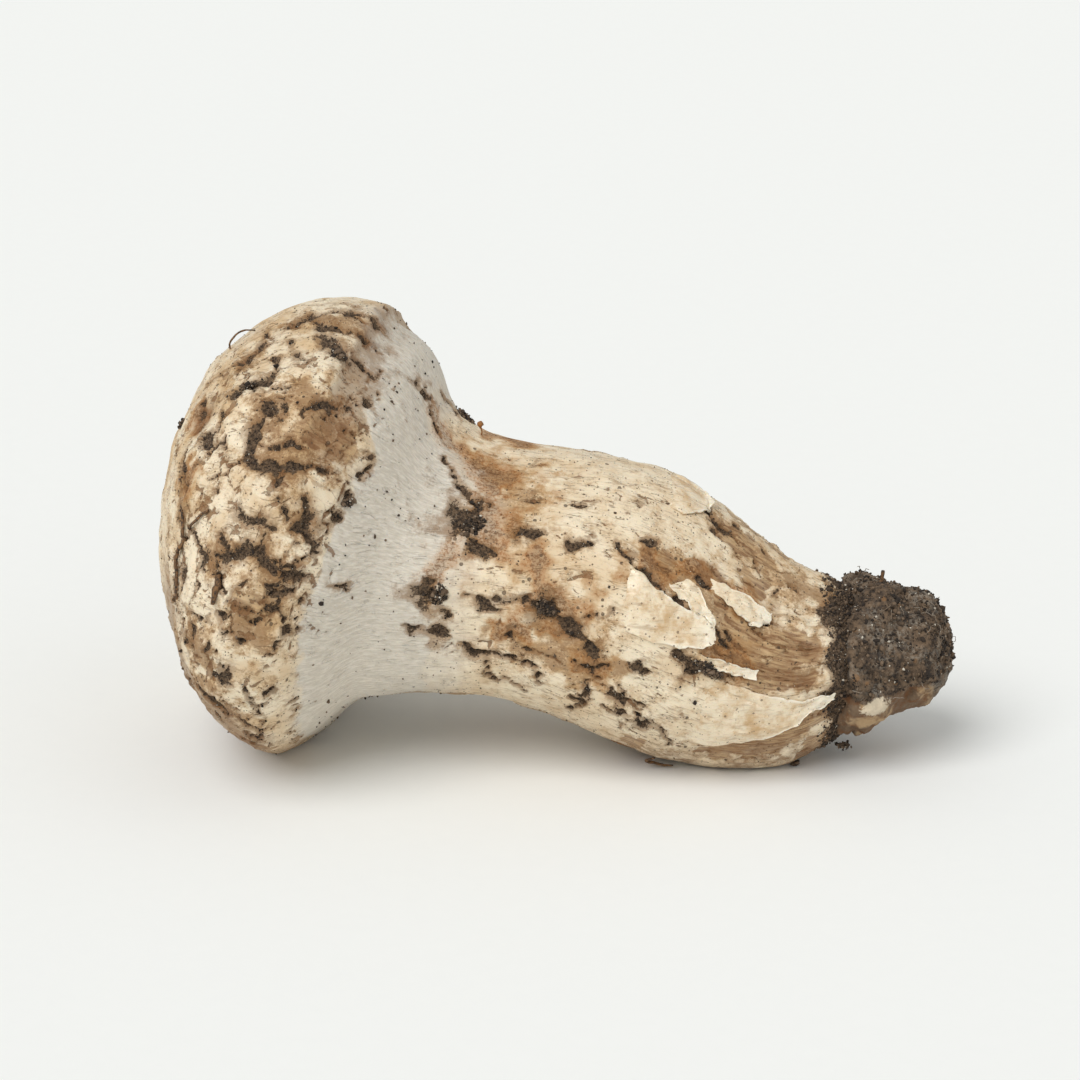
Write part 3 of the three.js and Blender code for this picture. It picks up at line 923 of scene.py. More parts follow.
def hairs_group():
    """Hair-fine curved lines that flow along the skin: where swirled noise crosses its middle value."""
    inputs = [("Grain", "NodeSocketVector", None), ("Place", "NodeSocketVector", None),
              ("Size", "NodeSocketFloat", 1.0), ("Width", "NodeSocketFloat", 0.02),
              ("Share", "NodeSocketFloat", 0.5)]
    tree, given, result = new_group("Hairs", inputs, [("Mask", "NodeSocketFloat")])
    scale = sums(tree, "DIVIDE", 1.0, given["Size"])
    swirl = put(tree, "ShaderNodeTexNoise", None, Vector=given["Grain"], Scale=scale, Detail=2.0,
                Roughness=0.45, Distortion=0.9).outputs["Fac"]
    gap = sums(tree, "ABSOLUTE", minus(tree, swirl, 0.5))
    thin = noise(tree, given["Place"], 0.9, 2.0, 0.7)
    width = times(tree, given["Width"], minus(tree, times(tree, thin, 3.2), 0.8))
    line = rise(tree, minus(tree, width, gap), -0.002, 0.008)
    kept = noise(tree, given["Place"], 2.2, 3.0, 0.6)
    kept = rise(tree, plus(tree, kept, minus(tree, given["Share"], 1.0)), -0.03, 0.05)
    tree.links.new(times(tree, line, kept), result["Mask"])


def specks_group():
    """Scattered round specks of a given size; a higher Share gives more of them."""
    inputs = [("Place", "NodeSocketVector", None), ("Size", "NodeSocketFloat", 1.0),
              ("Share", "NodeSocketFloat", 0.2)]
    tree, given, result = new_group("Specks", inputs, [("Mask", "NodeSocketFloat")])
    scale = sums(tree, "DIVIDE", 1.0 / MM, given["Size"])
    cells = put(tree, "ShaderNodeTexVoronoi", None, Vector=given["Place"], Scale=scale)
    chance = put(tree, "ShaderNodeSeparateColor", None, Color=cells.outputs["Color"])
    chosen = sums(tree, "LESS_THAN", chance.outputs["Red"], given["Share"])
    radius = times(tree, chance.outputs["Green"], 0.42)
    inside = minus(tree, radius, cells.outputs["Distance"])
    tree.links.new(times(tree, rise(tree, inside, 0.0, 0.08), chosen), result["Mask"])


def fibres_group():
    """Fine fibres that run along the body, from noise stretched in that direction."""
    inputs = [("Grain", "NodeSocketVector", None), ("Size", "NodeSocketFloat", 0.4)]
    outputs = [("Light", "NodeSocketFloat"), ("Lines", "NodeSocketFloat")]
    tree, given, result = new_group("Fibres", inputs, outputs)
    scale = sums(tree, "DIVIDE", 1.0, given["Size"])
    cloud = put(tree, "ShaderNodeTexNoise", None,
                Vector=given["Grain"], Scale=scale, Detail=4.0, Roughness=0.6)
    tree.links.new(cloud.outputs["Fac"], result["Light"])
    tree.links.new(rise(tree, cloud.outputs["Fac"], 0.56, 0.68), result["Lines"])


GROUPS = {"Ragged": ragged_group, "Hairs": hairs_group, "Specks": specks_group, "Fibres": fibres_group}


def new_material(name):
    """A material with its Principled shader, and the tree that feeds it."""
    material = bpy.data.materials.new(name)
    material.use_nodes = True
    tree = material.node_tree
    return material, tree, tree.nodes["Principled BSDF"].inputs


def bumped(tree, shader, height, depth, strength=0.8):
    """Feeds a height of about depth mm into the shader's normal."""
    bump = put(tree, "ShaderNodeBump", None, Height=height, Distance=depth * MM, Strength=strength)
    tree.links.new(bump.outputs["Normal"], shader["Normal"])


def rgba(colour):
    return (*colour, 1.0)


def skin_material(look):
    """Cream skin with tan fibrils, a grey-white veil, rust stains, torn brown places and soil, and painted
    shade in hollows and near the floor.
    """
    material, tree, shader = new_material("mushroom_skin")
    where = place(tree)
    grain = mark(tree, "grain", "Vector")
    fibres = use(tree, "Fibres", Grain=grain, Size=0.55)
    fine = use(tree, "Fibres", Grain=grain, Size=0.2)
    cloud = noise(tree, where, 9.0, 3.0, 0.6)
    blotch = noise(tree, where, 2.6, 5.0, 0.7)
    grit = noise(tree, where, 0.45, 3.0, 0.75)
    cap = mark(tree, "cap")
    ink = mark(tree, "soil")
    fray = times(tree, minus(tree, blotch, 0.5), 4.0)
    veil = rise(tree, plus(tree, mark(tree, "veil_edge"), fray), -0.6, 0.6)
    veil_fade = rise(tree, plus(tree, mark(tree, "veil_fade"), minus(tree, blotch, 0.5)), 0.0, 1.0)

    tanned = times(tree, rise(tree, cloud, 0.4, 0.66), plus(tree, times(tree, cap, 0.35), 0.5))
    colour = blend(tree, tanned, rgba(look.cream), rgba(look.tan))
    colour = blend(tree, rise(tree, blotch, 0.46, 0.66, 0.5), colour, rgba(look.tan))
    pale = use(tree, "Ragged", Ink=mark(tree, "pale"), Place=where, Size=3.0, Raggedness=0.9)["Mask"]
    colour = blend(tree, times(tree, pale, 0.6), colour, rgba(look.cream))
    colour = blend(tree, times(tree, fibres["Lines"], 0.4), colour, rgba(look.fibril))
    colour = blend(tree, times(tree, fine["Lines"], 0.25), colour, rgba(look.fibril))
    speckle = rise(tree, grit, 0.44, 0.6)
    wash = times(tree, rise(tree, blotch, 0.46, 0.62), speckle)
    wash = times(tree, wash, plus(tree, times(tree, cap, 0.25), 0.25))
    colour = blend(tree, wash, colour, rgba(look.fibril))
    wide = use(tree, "Hairs", Grain=grain, Place=where, Size=2.2, Width=0.008, Share=0.5)["Mask"]
    small = use(tree, "Hairs", Grain=grain, Place=where, Size=0.9, Width=0.013, Share=0.47)["Mask"]
    hairs = times(tree, sums(tree, "MAXIMUM", wide, times(tree, small, 0.7)), 0.75)
    colour = blend(tree, hairs, colour, rgba(look.bare))
    dirt = plus(tree, mark(tree, "dirt"), times(tree, minus(tree, blotch, 0.5), 1.6))
    warm = rise(tree, dirt, 0.15, 0.8, 0.6)
    colour = blend(tree, warm, colour, rgba(look.dirt))
    dirt = plus(tree, dirt, times(tree, minus(tree, grit, 0.5), 1.5))
    colour = blend(tree, rise(tree, dirt, 0.45, 0.95, 0.6), colour, rgba(look.fibril))

    bare = use(tree, "Ragged", Ink=mark(tree, "bare"), Place=where, Size=4.0, Raggedness=0.5)["Mask"]
    bare_tint = blend(tree, rise(tree, fibres["Light"], 0.36, 0.66), rgba(look.bare), rgba(look.tan))
    colour = blend(tree, times(tree, bare, 0.78), colour, bare_tint)
    seep = plus(tree, mark(tree, "rust"), minus(tree, blotch, 0.5))
    rust = rise(tree, seep, 0.1, 0.6, 0.85)
    broken = plus(tree, times(tree, speckle, 0.45), 0.55)
    rust = times(tree, rust, broken)
    deep = plus(tree, seep, times(tree, minus(tree, grit, 0.5), 0.8))
    stain = blend(tree, rise(tree, deep, 0.5, 0.95), rgba(look.rust), rgba(look.bare))
    around_it = rise(tree, seep, -0.12, 0.3, 0.5)
    around_it = times(tree, around_it, rise(tree, mark(tree, "rust"), 0.0, 0.12))
    colour = blend(tree, around_it, colour, rgba(look.dirt))
    colour = blend(tree, rust, colour, stain)

    white = blend(tree, rise(tree, fine["Light"], 0.35, 0.7), rgba(look.veil_shade), rgba(look.veil))
    clean = minus(tree, 1.0, sums(tree, "MAXIMUM", rust, rise(tree, ink, 0.1, 0.5)))
    colour = blend(tree, times(tree, times(tree, veil_fade, clean), 0.7), colour, white)
    colour = blend(tree, times(tree, veil, plus(tree, times(tree, clean, 0.5), 0.5)),
                   colour, white)

    haze = rise(tree, plus(tree, ink, times(tree, minus(tree, grit, 0.5), 0.5)), 0.05, 0.34)
    colour = blend(tree, times(tree, haze, 0.62), colour, rgba(look.fibril))
    # Painted shade: the skin turns darker brown where its relief sinks below the smooth shape, except on the
    # veil.
    hollow_shade = rise(tree, mark(tree, "hollow_shade"), 0.12, 0.8, 0.55)
    colour = blend(tree, times(tree, hollow_shade, minus(tree, 1.0, veil)), colour, rgba(look.bare))
    crack = use(tree, "Ragged", Ink=mark(tree, "crack"), Place=where,
                Size=1.2, Raggedness=0.5, Edge=0.56)["Mask"]
    line_tint = blend(tree, speckle, rgba(look.fibril), rgba(look.bare))
    colour = blend(tree, times(tree, crack, 0.75), colour, line_tint)
    # Painted shade near the floor: the skin darkens in patches towards the torn-away brown.
    under = times(tree, mark(tree, "under"), rise(tree, blotch, 0.3, 0.7))
    colour = blend(tree, times(tree, under, 0.8), colour, rgba(look.bare))

    soil = use(tree, "Ragged", Ink=ink, Place=where, Size=1.5, Raggedness=1.0, Edge=0.5)["Mask"]
    few = times(tree, rise(tree, cloud, 0.4, 0.62), 0.16)
    specks = use(tree, "Specks", Place=where, Size=0.9, Share=few)["Mask"]
    dust = use(tree, "Specks", Place=where, Size=0.4, Share=0.22)["Mask"]
    dust = times(tree, sums(tree, "MAXIMUM", specks, dust), minus(tree, 1.0, veil))
    soil = sums(tree, "MAXIMUM", soil, times(tree, dust, 0.8))
    earth = blend(tree, rise(tree, grit, 0.38, 0.62), rgba(look.soil_dark), rgba(look.soil_light))
    colour = blend(tree, times(tree, soil, 0.94), colour, earth)

    tree.links.new(colour, shader["Base Color"])
    rough = plus(tree, times(tree, soil, 0.3), 0.62)
    tree.links.new(rough, shader["Roughness"])
    relief = plus(tree, times(tree, fibres["Light"], 0.5), times(tree, blotch, 0.8))
    relief = minus(tree, relief, times(tree, sums(tree, "MAXIMUM", hairs, crack), 0.7))
    relief = plus(tree, relief, times(tree, times(tree, soil, grit), 1.4))
    bumped(tree, shader, relief, 0.3)
    shader["Subsurface Weight"].default_value = 0.12
    shader["Subsurface Radius"].default_value = (0.0022, 0.0014, 0.0008)
    shader["Specular IOR Level"].default_value = 0.3
    return material


def scale_material(look):
    """A torn outer layer: the cream of the stem, whiter where it thins towards its edge."""
    material, tree, shader = new_material("torn_scale")
    where = place(tree)
    grain = mark(tree, "grain", "Vector")
    fibres = use(tree, "Fibres", Grain=grain, Size=0.55)
    fine = use(tree, "Fibres", Grain=grain, Size=0.22)
    blotch = noise(tree, where, 3.0, 5.0, 0.65)
    tan = blend(tree, rise(tree, blotch, 0.4, 0.7), rgba(look.cream), rgba(look.tan))
    tan = blend(tree, times(tree, fibres["Lines"], 0.35), tan, rgba(look.fibril))
    tan = blend(tree, times(tree, fine["Lines"], 0.2), tan, rgba(look.fibril))
    white = rise(tree, plus(tree, mark(tree, "thin"), minus(tree, blotch, 0.5)), 0.3, 0.8)
    colour = blend(tree, times(tree, white, 0.72), tan, rgba(look.flesh))
    grime = rise(tree, noise(tree, where, 1.1, 5.0, 0.75), 0.5, 0.68, 0.45)
    colour = blend(tree, grime, colour, rgba(look.dirt))
    dust = use(tree, "Specks", Place=where, Size=0.6, Share=0.12)["Mask"]
    fine_dust = use(tree, "Specks", Place=where, Size=0.35, Share=0.14)["Mask"]
    dust = times(tree, sums(tree, "MAXIMUM", dust, fine_dust), 0.75)
    colour = blend(tree, dust, colour, rgba(look.soil_light))
    tree.links.new(colour, shader["Base Color"])
    tree.links.new(rise(tree, fibres["Light"], 0.2, 0.8, 0.75), shader["Roughness"])
    bumped(tree, shader, plus(tree, fibres["Light"], blotch), 0.15)
    shader["Subsurface Weight"].default_value = 0.15
    shader["Subsurface Radius"].default_value = (0.0022, 0.0014, 0.0008)
    return material


def crumb_material(look):
    """Crumbs of earth: each its own shade of dark brown, with a few pale grains of sand."""
    material, tree, shader = new_material("soil_crumbs")
    where = place(tree)
    tone = mark(tree, "tone")
    cloud = noise(tree, where, 0.35, 3.0, 0.7)
    colour = blend(tree, rise(tree, tone, 0.1, 0.95), rgba(look.soil_dark), rgba(look.soil_light))
    colour = blend(tree, rise(tree, cloud, 0.45, 0.7, 0.5), colour, rgba(look.soil_dark))
    sand = sums(tree, "GREATER_THAN", tone, SANDY)
    colour = blend(tree, sand, colour, rgba(look.sand))
    tree.links.new(colour, shader["Base Color"])
    tree.links.new(rise(tree, tone, 1.3, 0.6, 0.95), shader["Roughness"])
    bumped(tree, shader, cloud, 0.08)
    return material


def crust_material(look):
    """Caked earth bound by grey-white threads, with tan bits in it."""
    material, tree, shader = new_material("caked_earth")
    where = place(tree)
    clumps = noise(tree, where, 1.6, 5.0, 0.7)
    lumps = noise(tree, where, 5.0, 4.0, 0.6)
    colour = blend(tree, rise(tree, clumps, 0.35, 0.65), rgba(look.soil_dark), rgba(look.soil_light))
    fine = noise(tree, where, 0.7, 6.0, 0.8)
    mould = times(tree, rise(tree, lumps, 0.42, 0.62), rise(tree, fine, 0.42, 0.62))
    colour = blend(tree, times(tree, mould, 0.65), colour, rgba(look.mould))
    bits = use(tree, "Specks", Place=where, Size=2.2, Share=0.24)["Mask"]
    colour = blend(tree, times(tree, bits, 0.65), colour, rgba(look.fibril))
    skin_side = rise(tree, mark(tree, "skin_side"), 0.3, 0.7)
    skin_tint = blend(tree, rise(tree, clumps, 0.34, 0.6), rgba(look.bare), rgba(look.soil_light))
    skin_tint = blend(tree, rise(tree, lumps, 0.5, 0.62, 0.7), skin_tint, rgba(look.tan))
    colour = blend(tree, times(tree, skin_side, 0.85), colour, skin_tint)
    flake = use(tree, "Ragged", Ink=mark(tree, "flake"), Place=where, Size=3.0, Raggedness=0.6)["Mask"]
    colour = blend(tree, times(tree, flake, 0.7), colour, rgba(look.cream))
    tree.links.new(colour, shader["Base Color"])
    tree.links.new(rise(tree, clumps, -1.0, 0.6, 0.95), shader["Roughness"])
    bumped(tree, shader, clumps, 0.5)
    return material


def bark_material(name, dark, light):
    """Rootlets, needles and husks: long streaks and a rough skin."""
    material, tree, shader = new_material(name)
    where = place(tree)
    cloud = noise(tree, where, 0.5, 4.0, 0.7)
    colour = blend(tree, rise(tree, cloud, 0.35, 0.65), rgba(dark), rgba(light))
    specks = use(tree, "Specks", Place=where, Size=0.35, Share=0.15)["Mask"]
    colour = blend(tree, times(tree, specks, 0.6), colour, rgba(dark))
    tree.links.new(colour, shader["Base Color"])
    tree.links.new(rise(tree, cloud, -1.0, 0.8, 0.85), shader["Roughness"])
    bumped(tree, shader, cloud, 0.12)
    return material


def floor_material(look):
    """Matt paper, with a grain too fine to notice."""
    material, tree, shader = new_material("pale_floor")
    cloud = noise(tree, place(tree), 3.0, 2.0)
    low = tuple(0.985 * value for value in look.floor)
    tree.links.new(blend(tree, cloud, rgba(low), rgba(look.floor)), shader["Base Color"])
    shader["Roughness"].default_value = 1.0
    shader["Specular IOR Level"].default_value = 0.0
    return material


# ---- Settings ----

def colour_of(name, description, red, green, blue):
    """A colour setting, given as everyday 0-255 values."""
    return FloatVectorProperty(name=name, description=description, default=linear(red, green, blue),
                               size=3, min=0.0, max=1.0, subtype="COLOR")


class MushroomColours(bpy.types.PropertyGroup):
    cream: colour_of("Cream", "Clean skin", 237, 222, 195)
    tan: colour_of("Tan", "Weathered skin", 205, 173, 130)
    fibril: colour_of("Fibril", "Brown fibres and the haze round soil", 134, 98, 62)
    flesh: colour_of("Flesh", "Freshly torn white layer", 243, 236, 218)
    veil: colour_of("Veil", "Cottony veil under the cap", 223, 215, 201)
    veil_shade: colour_of("Veil shade", "Between the veil's fibres", 201, 192, 177)
    # Bare also colours the painted shade in the hollows and near the floor.
    bare: colour_of("Bare", "Brown where a layer has torn away", 118, 78, 44)
    rust: colour_of("Rust", "Orange-brown stain", 156, 99, 42)
    dirt: colour_of("Dirt", "Warm wash over dirty skin", 190, 152, 104)
    soil_dark: colour_of("Dark soil", "Damp soil", 42, 34, 28)
    soil_light: colour_of("Light soil", "Drier soil", 116, 95, 74)
    sand: colour_of("Sand", "Pale grains in the soil", 205, 196, 180)
    mould: colour_of("Threads", "Grey-white threads that bind the earth", 158, 148, 134)
    floor: colour_of("Floor", "Ground that it lies on", 244, 245, 243)


class MushroomSizes(bpy.types.PropertyGroup):
    crevice_depth: FloatProperty(
        name="Crevice depth", description="Depth of the soil-filled crevices", default=0.9 * MM,
        min=0.0, max=2 * MM, unit="LENGTH")
    scale_thickness: FloatProperty(
        name="Scale thickness", description="Thickness of the torn scales", default=0.24 * MM,
        min=0.1 * MM, max=1 * MM, unit="LENGTH")
    grain_size: FloatProperty(
        name="Grain size", description="Typical width of a crumb of soil", default=0.2 * MM,
        min=0.1 * MM, max=1 * MM, unit="LENGTH")
    grain_count: IntProperty(
        name="Grains", description="Crumbs of soil in the crevices", default=9400, min=100, max=9500)


# ---- Operators ----

class MushroomOperator:
    """What the operators below share."""

    bl_options = {"REGISTER", "UNDO"}

    @staticmethod
    def shaped(scene):
        """The sculpted skin and its marks, at the scene's crevice depth in mm."""
        return sculpted_skin(round(scene.mushroom_sizes.crevice_depth / MM, 4))


class OBJECT_OT_mushroom_body(MushroomOperator, bpy.types.Operator):
    """Cap, veil and stem in one skin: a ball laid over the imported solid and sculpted"""

    bl_idname = "object.mushroom_body"
    bl_label = "Mushroom Body"

    def execute(self, context):
        skin, marks = self.shaped(context.scene)
        bpy.ops.object.select_all(action="DESELECT")
        bpy.ops.mesh.primitive_uv_sphere_add(segments=SKIN_SEGMENTS, ring_count=SKIN_RINGS + 1, radius=1.0)
        piece = named("mushroom_skin")
        ball = read_points(piece)
        ring = np.rint(np.arccos(np.clip(ball[:, 2], -1.0, 1.0)) / math.pi * (SKIN_RINGS + 1)).astype(int)
        turn = -np.arctan2(ball[:, 1], ball[:, 0]) / math.tau
        segment = np.rint(turn * SKIN_SEGMENTS).astype(int) % SKIN_SEGMENTS
        move_points(piece, skin.points[ring, segment] * MM)
        for name in ("soil", "crack", "rust", "bare", "pale", "dirt", "hollow_shade"):
            write_mark(piece, name, marks[name][ring, segment])
        points = skin.points[ring, segment]
        along = skin.along[ring]
        write_mark(piece, "grain", grain_of(skin, ring, segment))
        write_mark(piece, "cap", 1.0 - smoothstep(50.0, 62.0, along))
        soft = 1.0 + 6.0 * bump(skin.around[segment], 4.0, 32.0)
        write_mark(piece, "veil_edge", marks["veil"][ring, segment] / soft)
        near_veil = smoothstep(-10.0, 0.0, marks["veil"][ring, segment]) * smoothstep(54.0, 62.0, along)
        at_top = bump(skin.around[segment], 5.0, 30.0)
        near_veil += smoothstep(-7.0, 0.0, marks["veil"][ring, segment]) * at_top
        write_mark(piece, "veil_fade", np.clip(near_veil, 0.0, 1.0))
        # Painted shade near the floor: full up to 2 mm above it and gone at 11 mm. It is weaker on the cap
        # than on the stem.
        under = (1.0 - smoothstep(2.0, 11.0, points[:, 2])) * (0.35 + 0.65 * smoothstep(80.0, 95.0, along))
        write_mark(piece, "under", under)
        dress(piece, skin_material(context.scene.mushroom_colours), "skin", "mushroom_body")
        return {"FINISHED"}


def grain_of(skin, ring, segment):
    """Directions for fibres: slow along the body, quick round it."""
    angle = np.radians(skin.around[segment])
    return fibre_field(skin.along[ring], angle)


def fibre_field(along, angle):
    """The coordinates that fibres are drawn in, from mm along the body and the angle round it."""
    round_ = (FIBRE_TURNS * np.cos(angle), FIBRE_TURNS * np.sin(angle))
    return np.stack([along / FIBRE_LENGTH, *round_], axis=1)


class OBJECT_OT_torn_scales(MushroomOperator, bpy.types.Operator):
    """Scales torn from the stem: thin sheets that lift towards their tips"""

    bl_idname = "object.torn_scales"
    bl_label = "Torn Scales"

    def execute(self, context):
        skin, _ = self.shaped(context.scene)
        material = scale_material(context.scene.mushroom_colours)
        thickness = context.scene.mushroom_sizes.scale_thickness
        for number, (name, (upper, lower, lift)) in enumerate(TORN_SCALES.items()):
            piece = torn_scale(skin, f"torn_scale_{name}", upper, lower, lift, 200 + number)
            modifier = piece.modifiers.new("Thickness", "SOLIDIFY")
            modifier.thickness = thickness
            modifier.offset = -1.0
            apply_modifiers(piece)
            dress(piece, material, "skin")
        return {"FINISHED"}


def torn_scale(skin, name, upper, lower, lift, seed):
    """A sheet between two edges on the skin, sunk at its root, ragged at its sides and tip."""
    bpy.ops.object.select_all(action="DESELECT")
    bpy.ops.mesh.primitive_grid_add(x_subdivisions=SCALE_STEPS, y_subdivisions=SCALE_STEPS, size=2.0)
    piece = named(name)
    flat = (read_points(piece)[:, :2] + 1.0) / 2.0
    ahead, across = flat[:, 0], flat[:, 1]
    edges = [np.array(edge, float) for edge in (upper, lower)]
    for edge in edges:
        edge[:, 1] = np.degrees(np.unwrap(np.radians(edge[:, 1])))
    if edges[1][0, 1] < edges[0][0, 1] - 180.0:
        edges[1][:, 1] += 360.0
    first, last = (spline(edge, ahead * (len(edge) - 1.0)) for edge in edges)
    places = first * (1.0 - across[:, None]) + last * across[:, None]
    at = skin.look_up(skin.points, places)
    rim = 4.0 * across * (1.0 - across)
    wander = fractal(at, 2.2, seed, 3)
    places[:, 0] += 0.35 * wander * ahead
    places[:, 1] += 1.3 * fractal(at, 1.7, seed + 5, 3) * (1.0 - rim)
    at = skin.look_up(skin.points, places)
    normal = skin.look_up(skin.normals, places)
    edge_rise = 0.12 * (1.0 - smoothstep(0.0, 0.35, rim)) * smoothstep(0.1, 0.4, ahead)
    height = -0.5 + 0.75 * smoothstep(0.0, 0.3, ahead) + lift * ahead**3 + edge_rise + 0.1 * wander
    points = at + height[:, None] * normal
    points[:, 2] = np.maximum(points[:, 2], 0.05)
    move_points(piece, points * MM)
    bpy.ops.object.mode_set(mode="EDIT")
    bpy.ops.mesh.select_all(action="SELECT")
    bpy.ops.mesh.remove_doubles(threshold=1e-6)
    bpy.ops.object.mode_set(mode="OBJECT")
    face_outwards(piece, skin)
    points = read_points(piece) / MM
    write_mark(piece, "thin", thinness(at, ahead, rim, points))
    angle = np.arctan2(points[:, 2] - STEM_MIDDLE[1], points[:, 1] - STEM_MIDDLE[0])
    write_mark(piece, "grain", fibre_field(points[:, 0], angle))
    return piece


def thinness(at, ahead, rim, points):
    """How close each point lies to a scale's torn edge, looked up by its nearest point on the skin."""
    side = (1.0 - smoothstep(0.0, 0.45, rim)) * smoothstep(0.25, 0.6, ahead)
    value = np.maximum(smoothstep(0.45, 1.0, ahead), side)
    tree = mathutils.kdtree.KDTree(len(at))
    for index, point in enumerate(at):
        tree.insert(point, index)
    tree.balance()
    return np.array([value[tree.find(point)[1]] for point in points])


def face_outwards(piece, skin):
    """Turns a sheet's faces over where they face into the body."""
    face = piece.data.polygons[len(piece.data.polygons) // 2]
    centre = np.array(face.center) / MM
    offset = skin.points.reshape(-1, 3) - centre
    outward = skin.normals.reshape(-1, 3)[np.argmin((offset**2).sum(axis=1))]
    if float(np.dot(outward, np.array(face.normal))) < 0.0:
        only(piece)
        bpy.ops.object.mode_set(mode="EDIT")
        bpy.ops.mesh.select_all(action="SELECT")
        bpy.ops.mesh.flip_normals()
        bpy.ops.object.mode_set(mode="OBJECT")


class OBJECT_OT_soil_crumbs(MushroomOperator, bpy.types.Operator):
    """Crumbs of soil: packed in the crevices, heaped into clods and scattered on the skin"""

    bl_idname = "object.soil_crumbs"
    bl_label = "Soil Crumbs"

    def execute(self, context):
        skin, marks = self.shaped(context.scene)
        sizes = context.scene.mushroom_sizes
        rng = np.random.default_rng(5)
        grain = sizes.grain_size / MM
        material = crumb_material(context.scene.mushroom_colours)
        clump = smoothstep(-0.35, 0.35, fractal(skin.points, 1.4, 87, 3))
        chance = smoothstep(0.38, 0.8, marks["soil"]) * (0.15 + 0.85 * clump)
        piece = scattered(skin, chance, sizes.grain_count, grain, rng, "soil_in_crevices")
        dress(piece, material, "earth")
        loose = 0.12 + smoothstep(0.05, 0.35, marks["soil"])
        loose *= np.where(marks["veil"] > 0.0, 0.15, 1.0)
        piece = scattered(skin, loose, LOOSE_CRUMBS, 0.6 * grain, rng, "soil_specks")
        dress(piece, material, "earth")
        on_veil = smoothstep(0.0, 2.0, marks["veil"])
        piece = scattered(skin, on_veil, VEIL_CRUMBS, 1.5 * grain, rng, "specks_on_veil")
        dress(piece, material, "earth")
        joint = bump(skin.points[..., 0] + 1.5 * fractal(skin.points, 2.5, 89, 3), 43.0, 4.0)
        piece = scattered(skin, joint, JOINT_CRUMBS, 1.6 * grain, rng, "crumbs_at_crust_edge")
        dress(piece, material, "earth")
        for name in sorted(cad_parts):
            if name.startswith(("soil_clod", "soil_crumb")):
                dress(clod(name, grain, rng), material, "earth", name)
        return {"FINISHED"}


def scattered(skin, chance, count, grain, rng, name):
    """Crumbs strewn over the skin, more of them where chance is higher."""
    patch = np.gradient(skin.along)[:, None] * np.gradient(skin.around)[None, :]
    girth = np.linalg.norm(skin.points - skin.points.mean(axis=1, keepdims=True), axis=2)
    weight = chance * patch * girth
    weight[:2] = 0.0
    weight[skin.along > 141.0] = 0.0
    weight[skin.points[..., 2] < 0.6] = 0.0
    pick = rng.choice(weight.size, count, p=(weight / weight.sum()).ravel())
    row, column = np.unravel_index(pick, weight.shape)
    places = np.stack([skin.along[row] + rng.uniform(-0.4, 0.4, count),
                       skin.around[column] + rng.uniform(-0.6, 0.6, count)], axis=1)
    size = grain * 0.5 * np.exp(rng.normal(0.0, 0.45, count))
    size = np.clip(size, 0.05, 0.5)
    middles = skin.look_up(skin.points, places)
    middles += skin.look_up(skin.normals, places) * (size * rng.uniform(-0.3, 0.6, count))[:, None]
    return heap(name, middles, size, rng)


def clod(name, grain, rng):
    """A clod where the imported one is: a broken lump of crumbs inside the same outline."""
    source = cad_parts[name]
    shell = np.array([tuple(source.matrix_world @ vertex.co) for vertex in source.data.vertices]) / MM
    middle = shell.mean(axis=0)
    size_of = np.linalg.norm(shell - middle, axis=1).mean()
    count = int(np.clip(130 * size_of**1.5, 80, 700))
    pick = shell[rng.integers(0, len(shell), count)] + rng.normal(0.0, 0.12, (count, 3))
    share = rng.uniform(0.05, 1.0, count) ** 0.5
    lumps = 1.0 + 0.25 * value_noise(pick, 1.1, 88)
    middles = middle + (pick - middle) * (share * lumps * 0.88)[:, None]
    size = np.clip(0.7 * grain * np.exp(rng.normal(0.0, 0.5, count)), 0.08, 0.5)
    middles[:, 2] = np.maximum(middles[:, 2], 0.8 * size)
    return heap(f"{name}_crumbs", middles, size, rng)


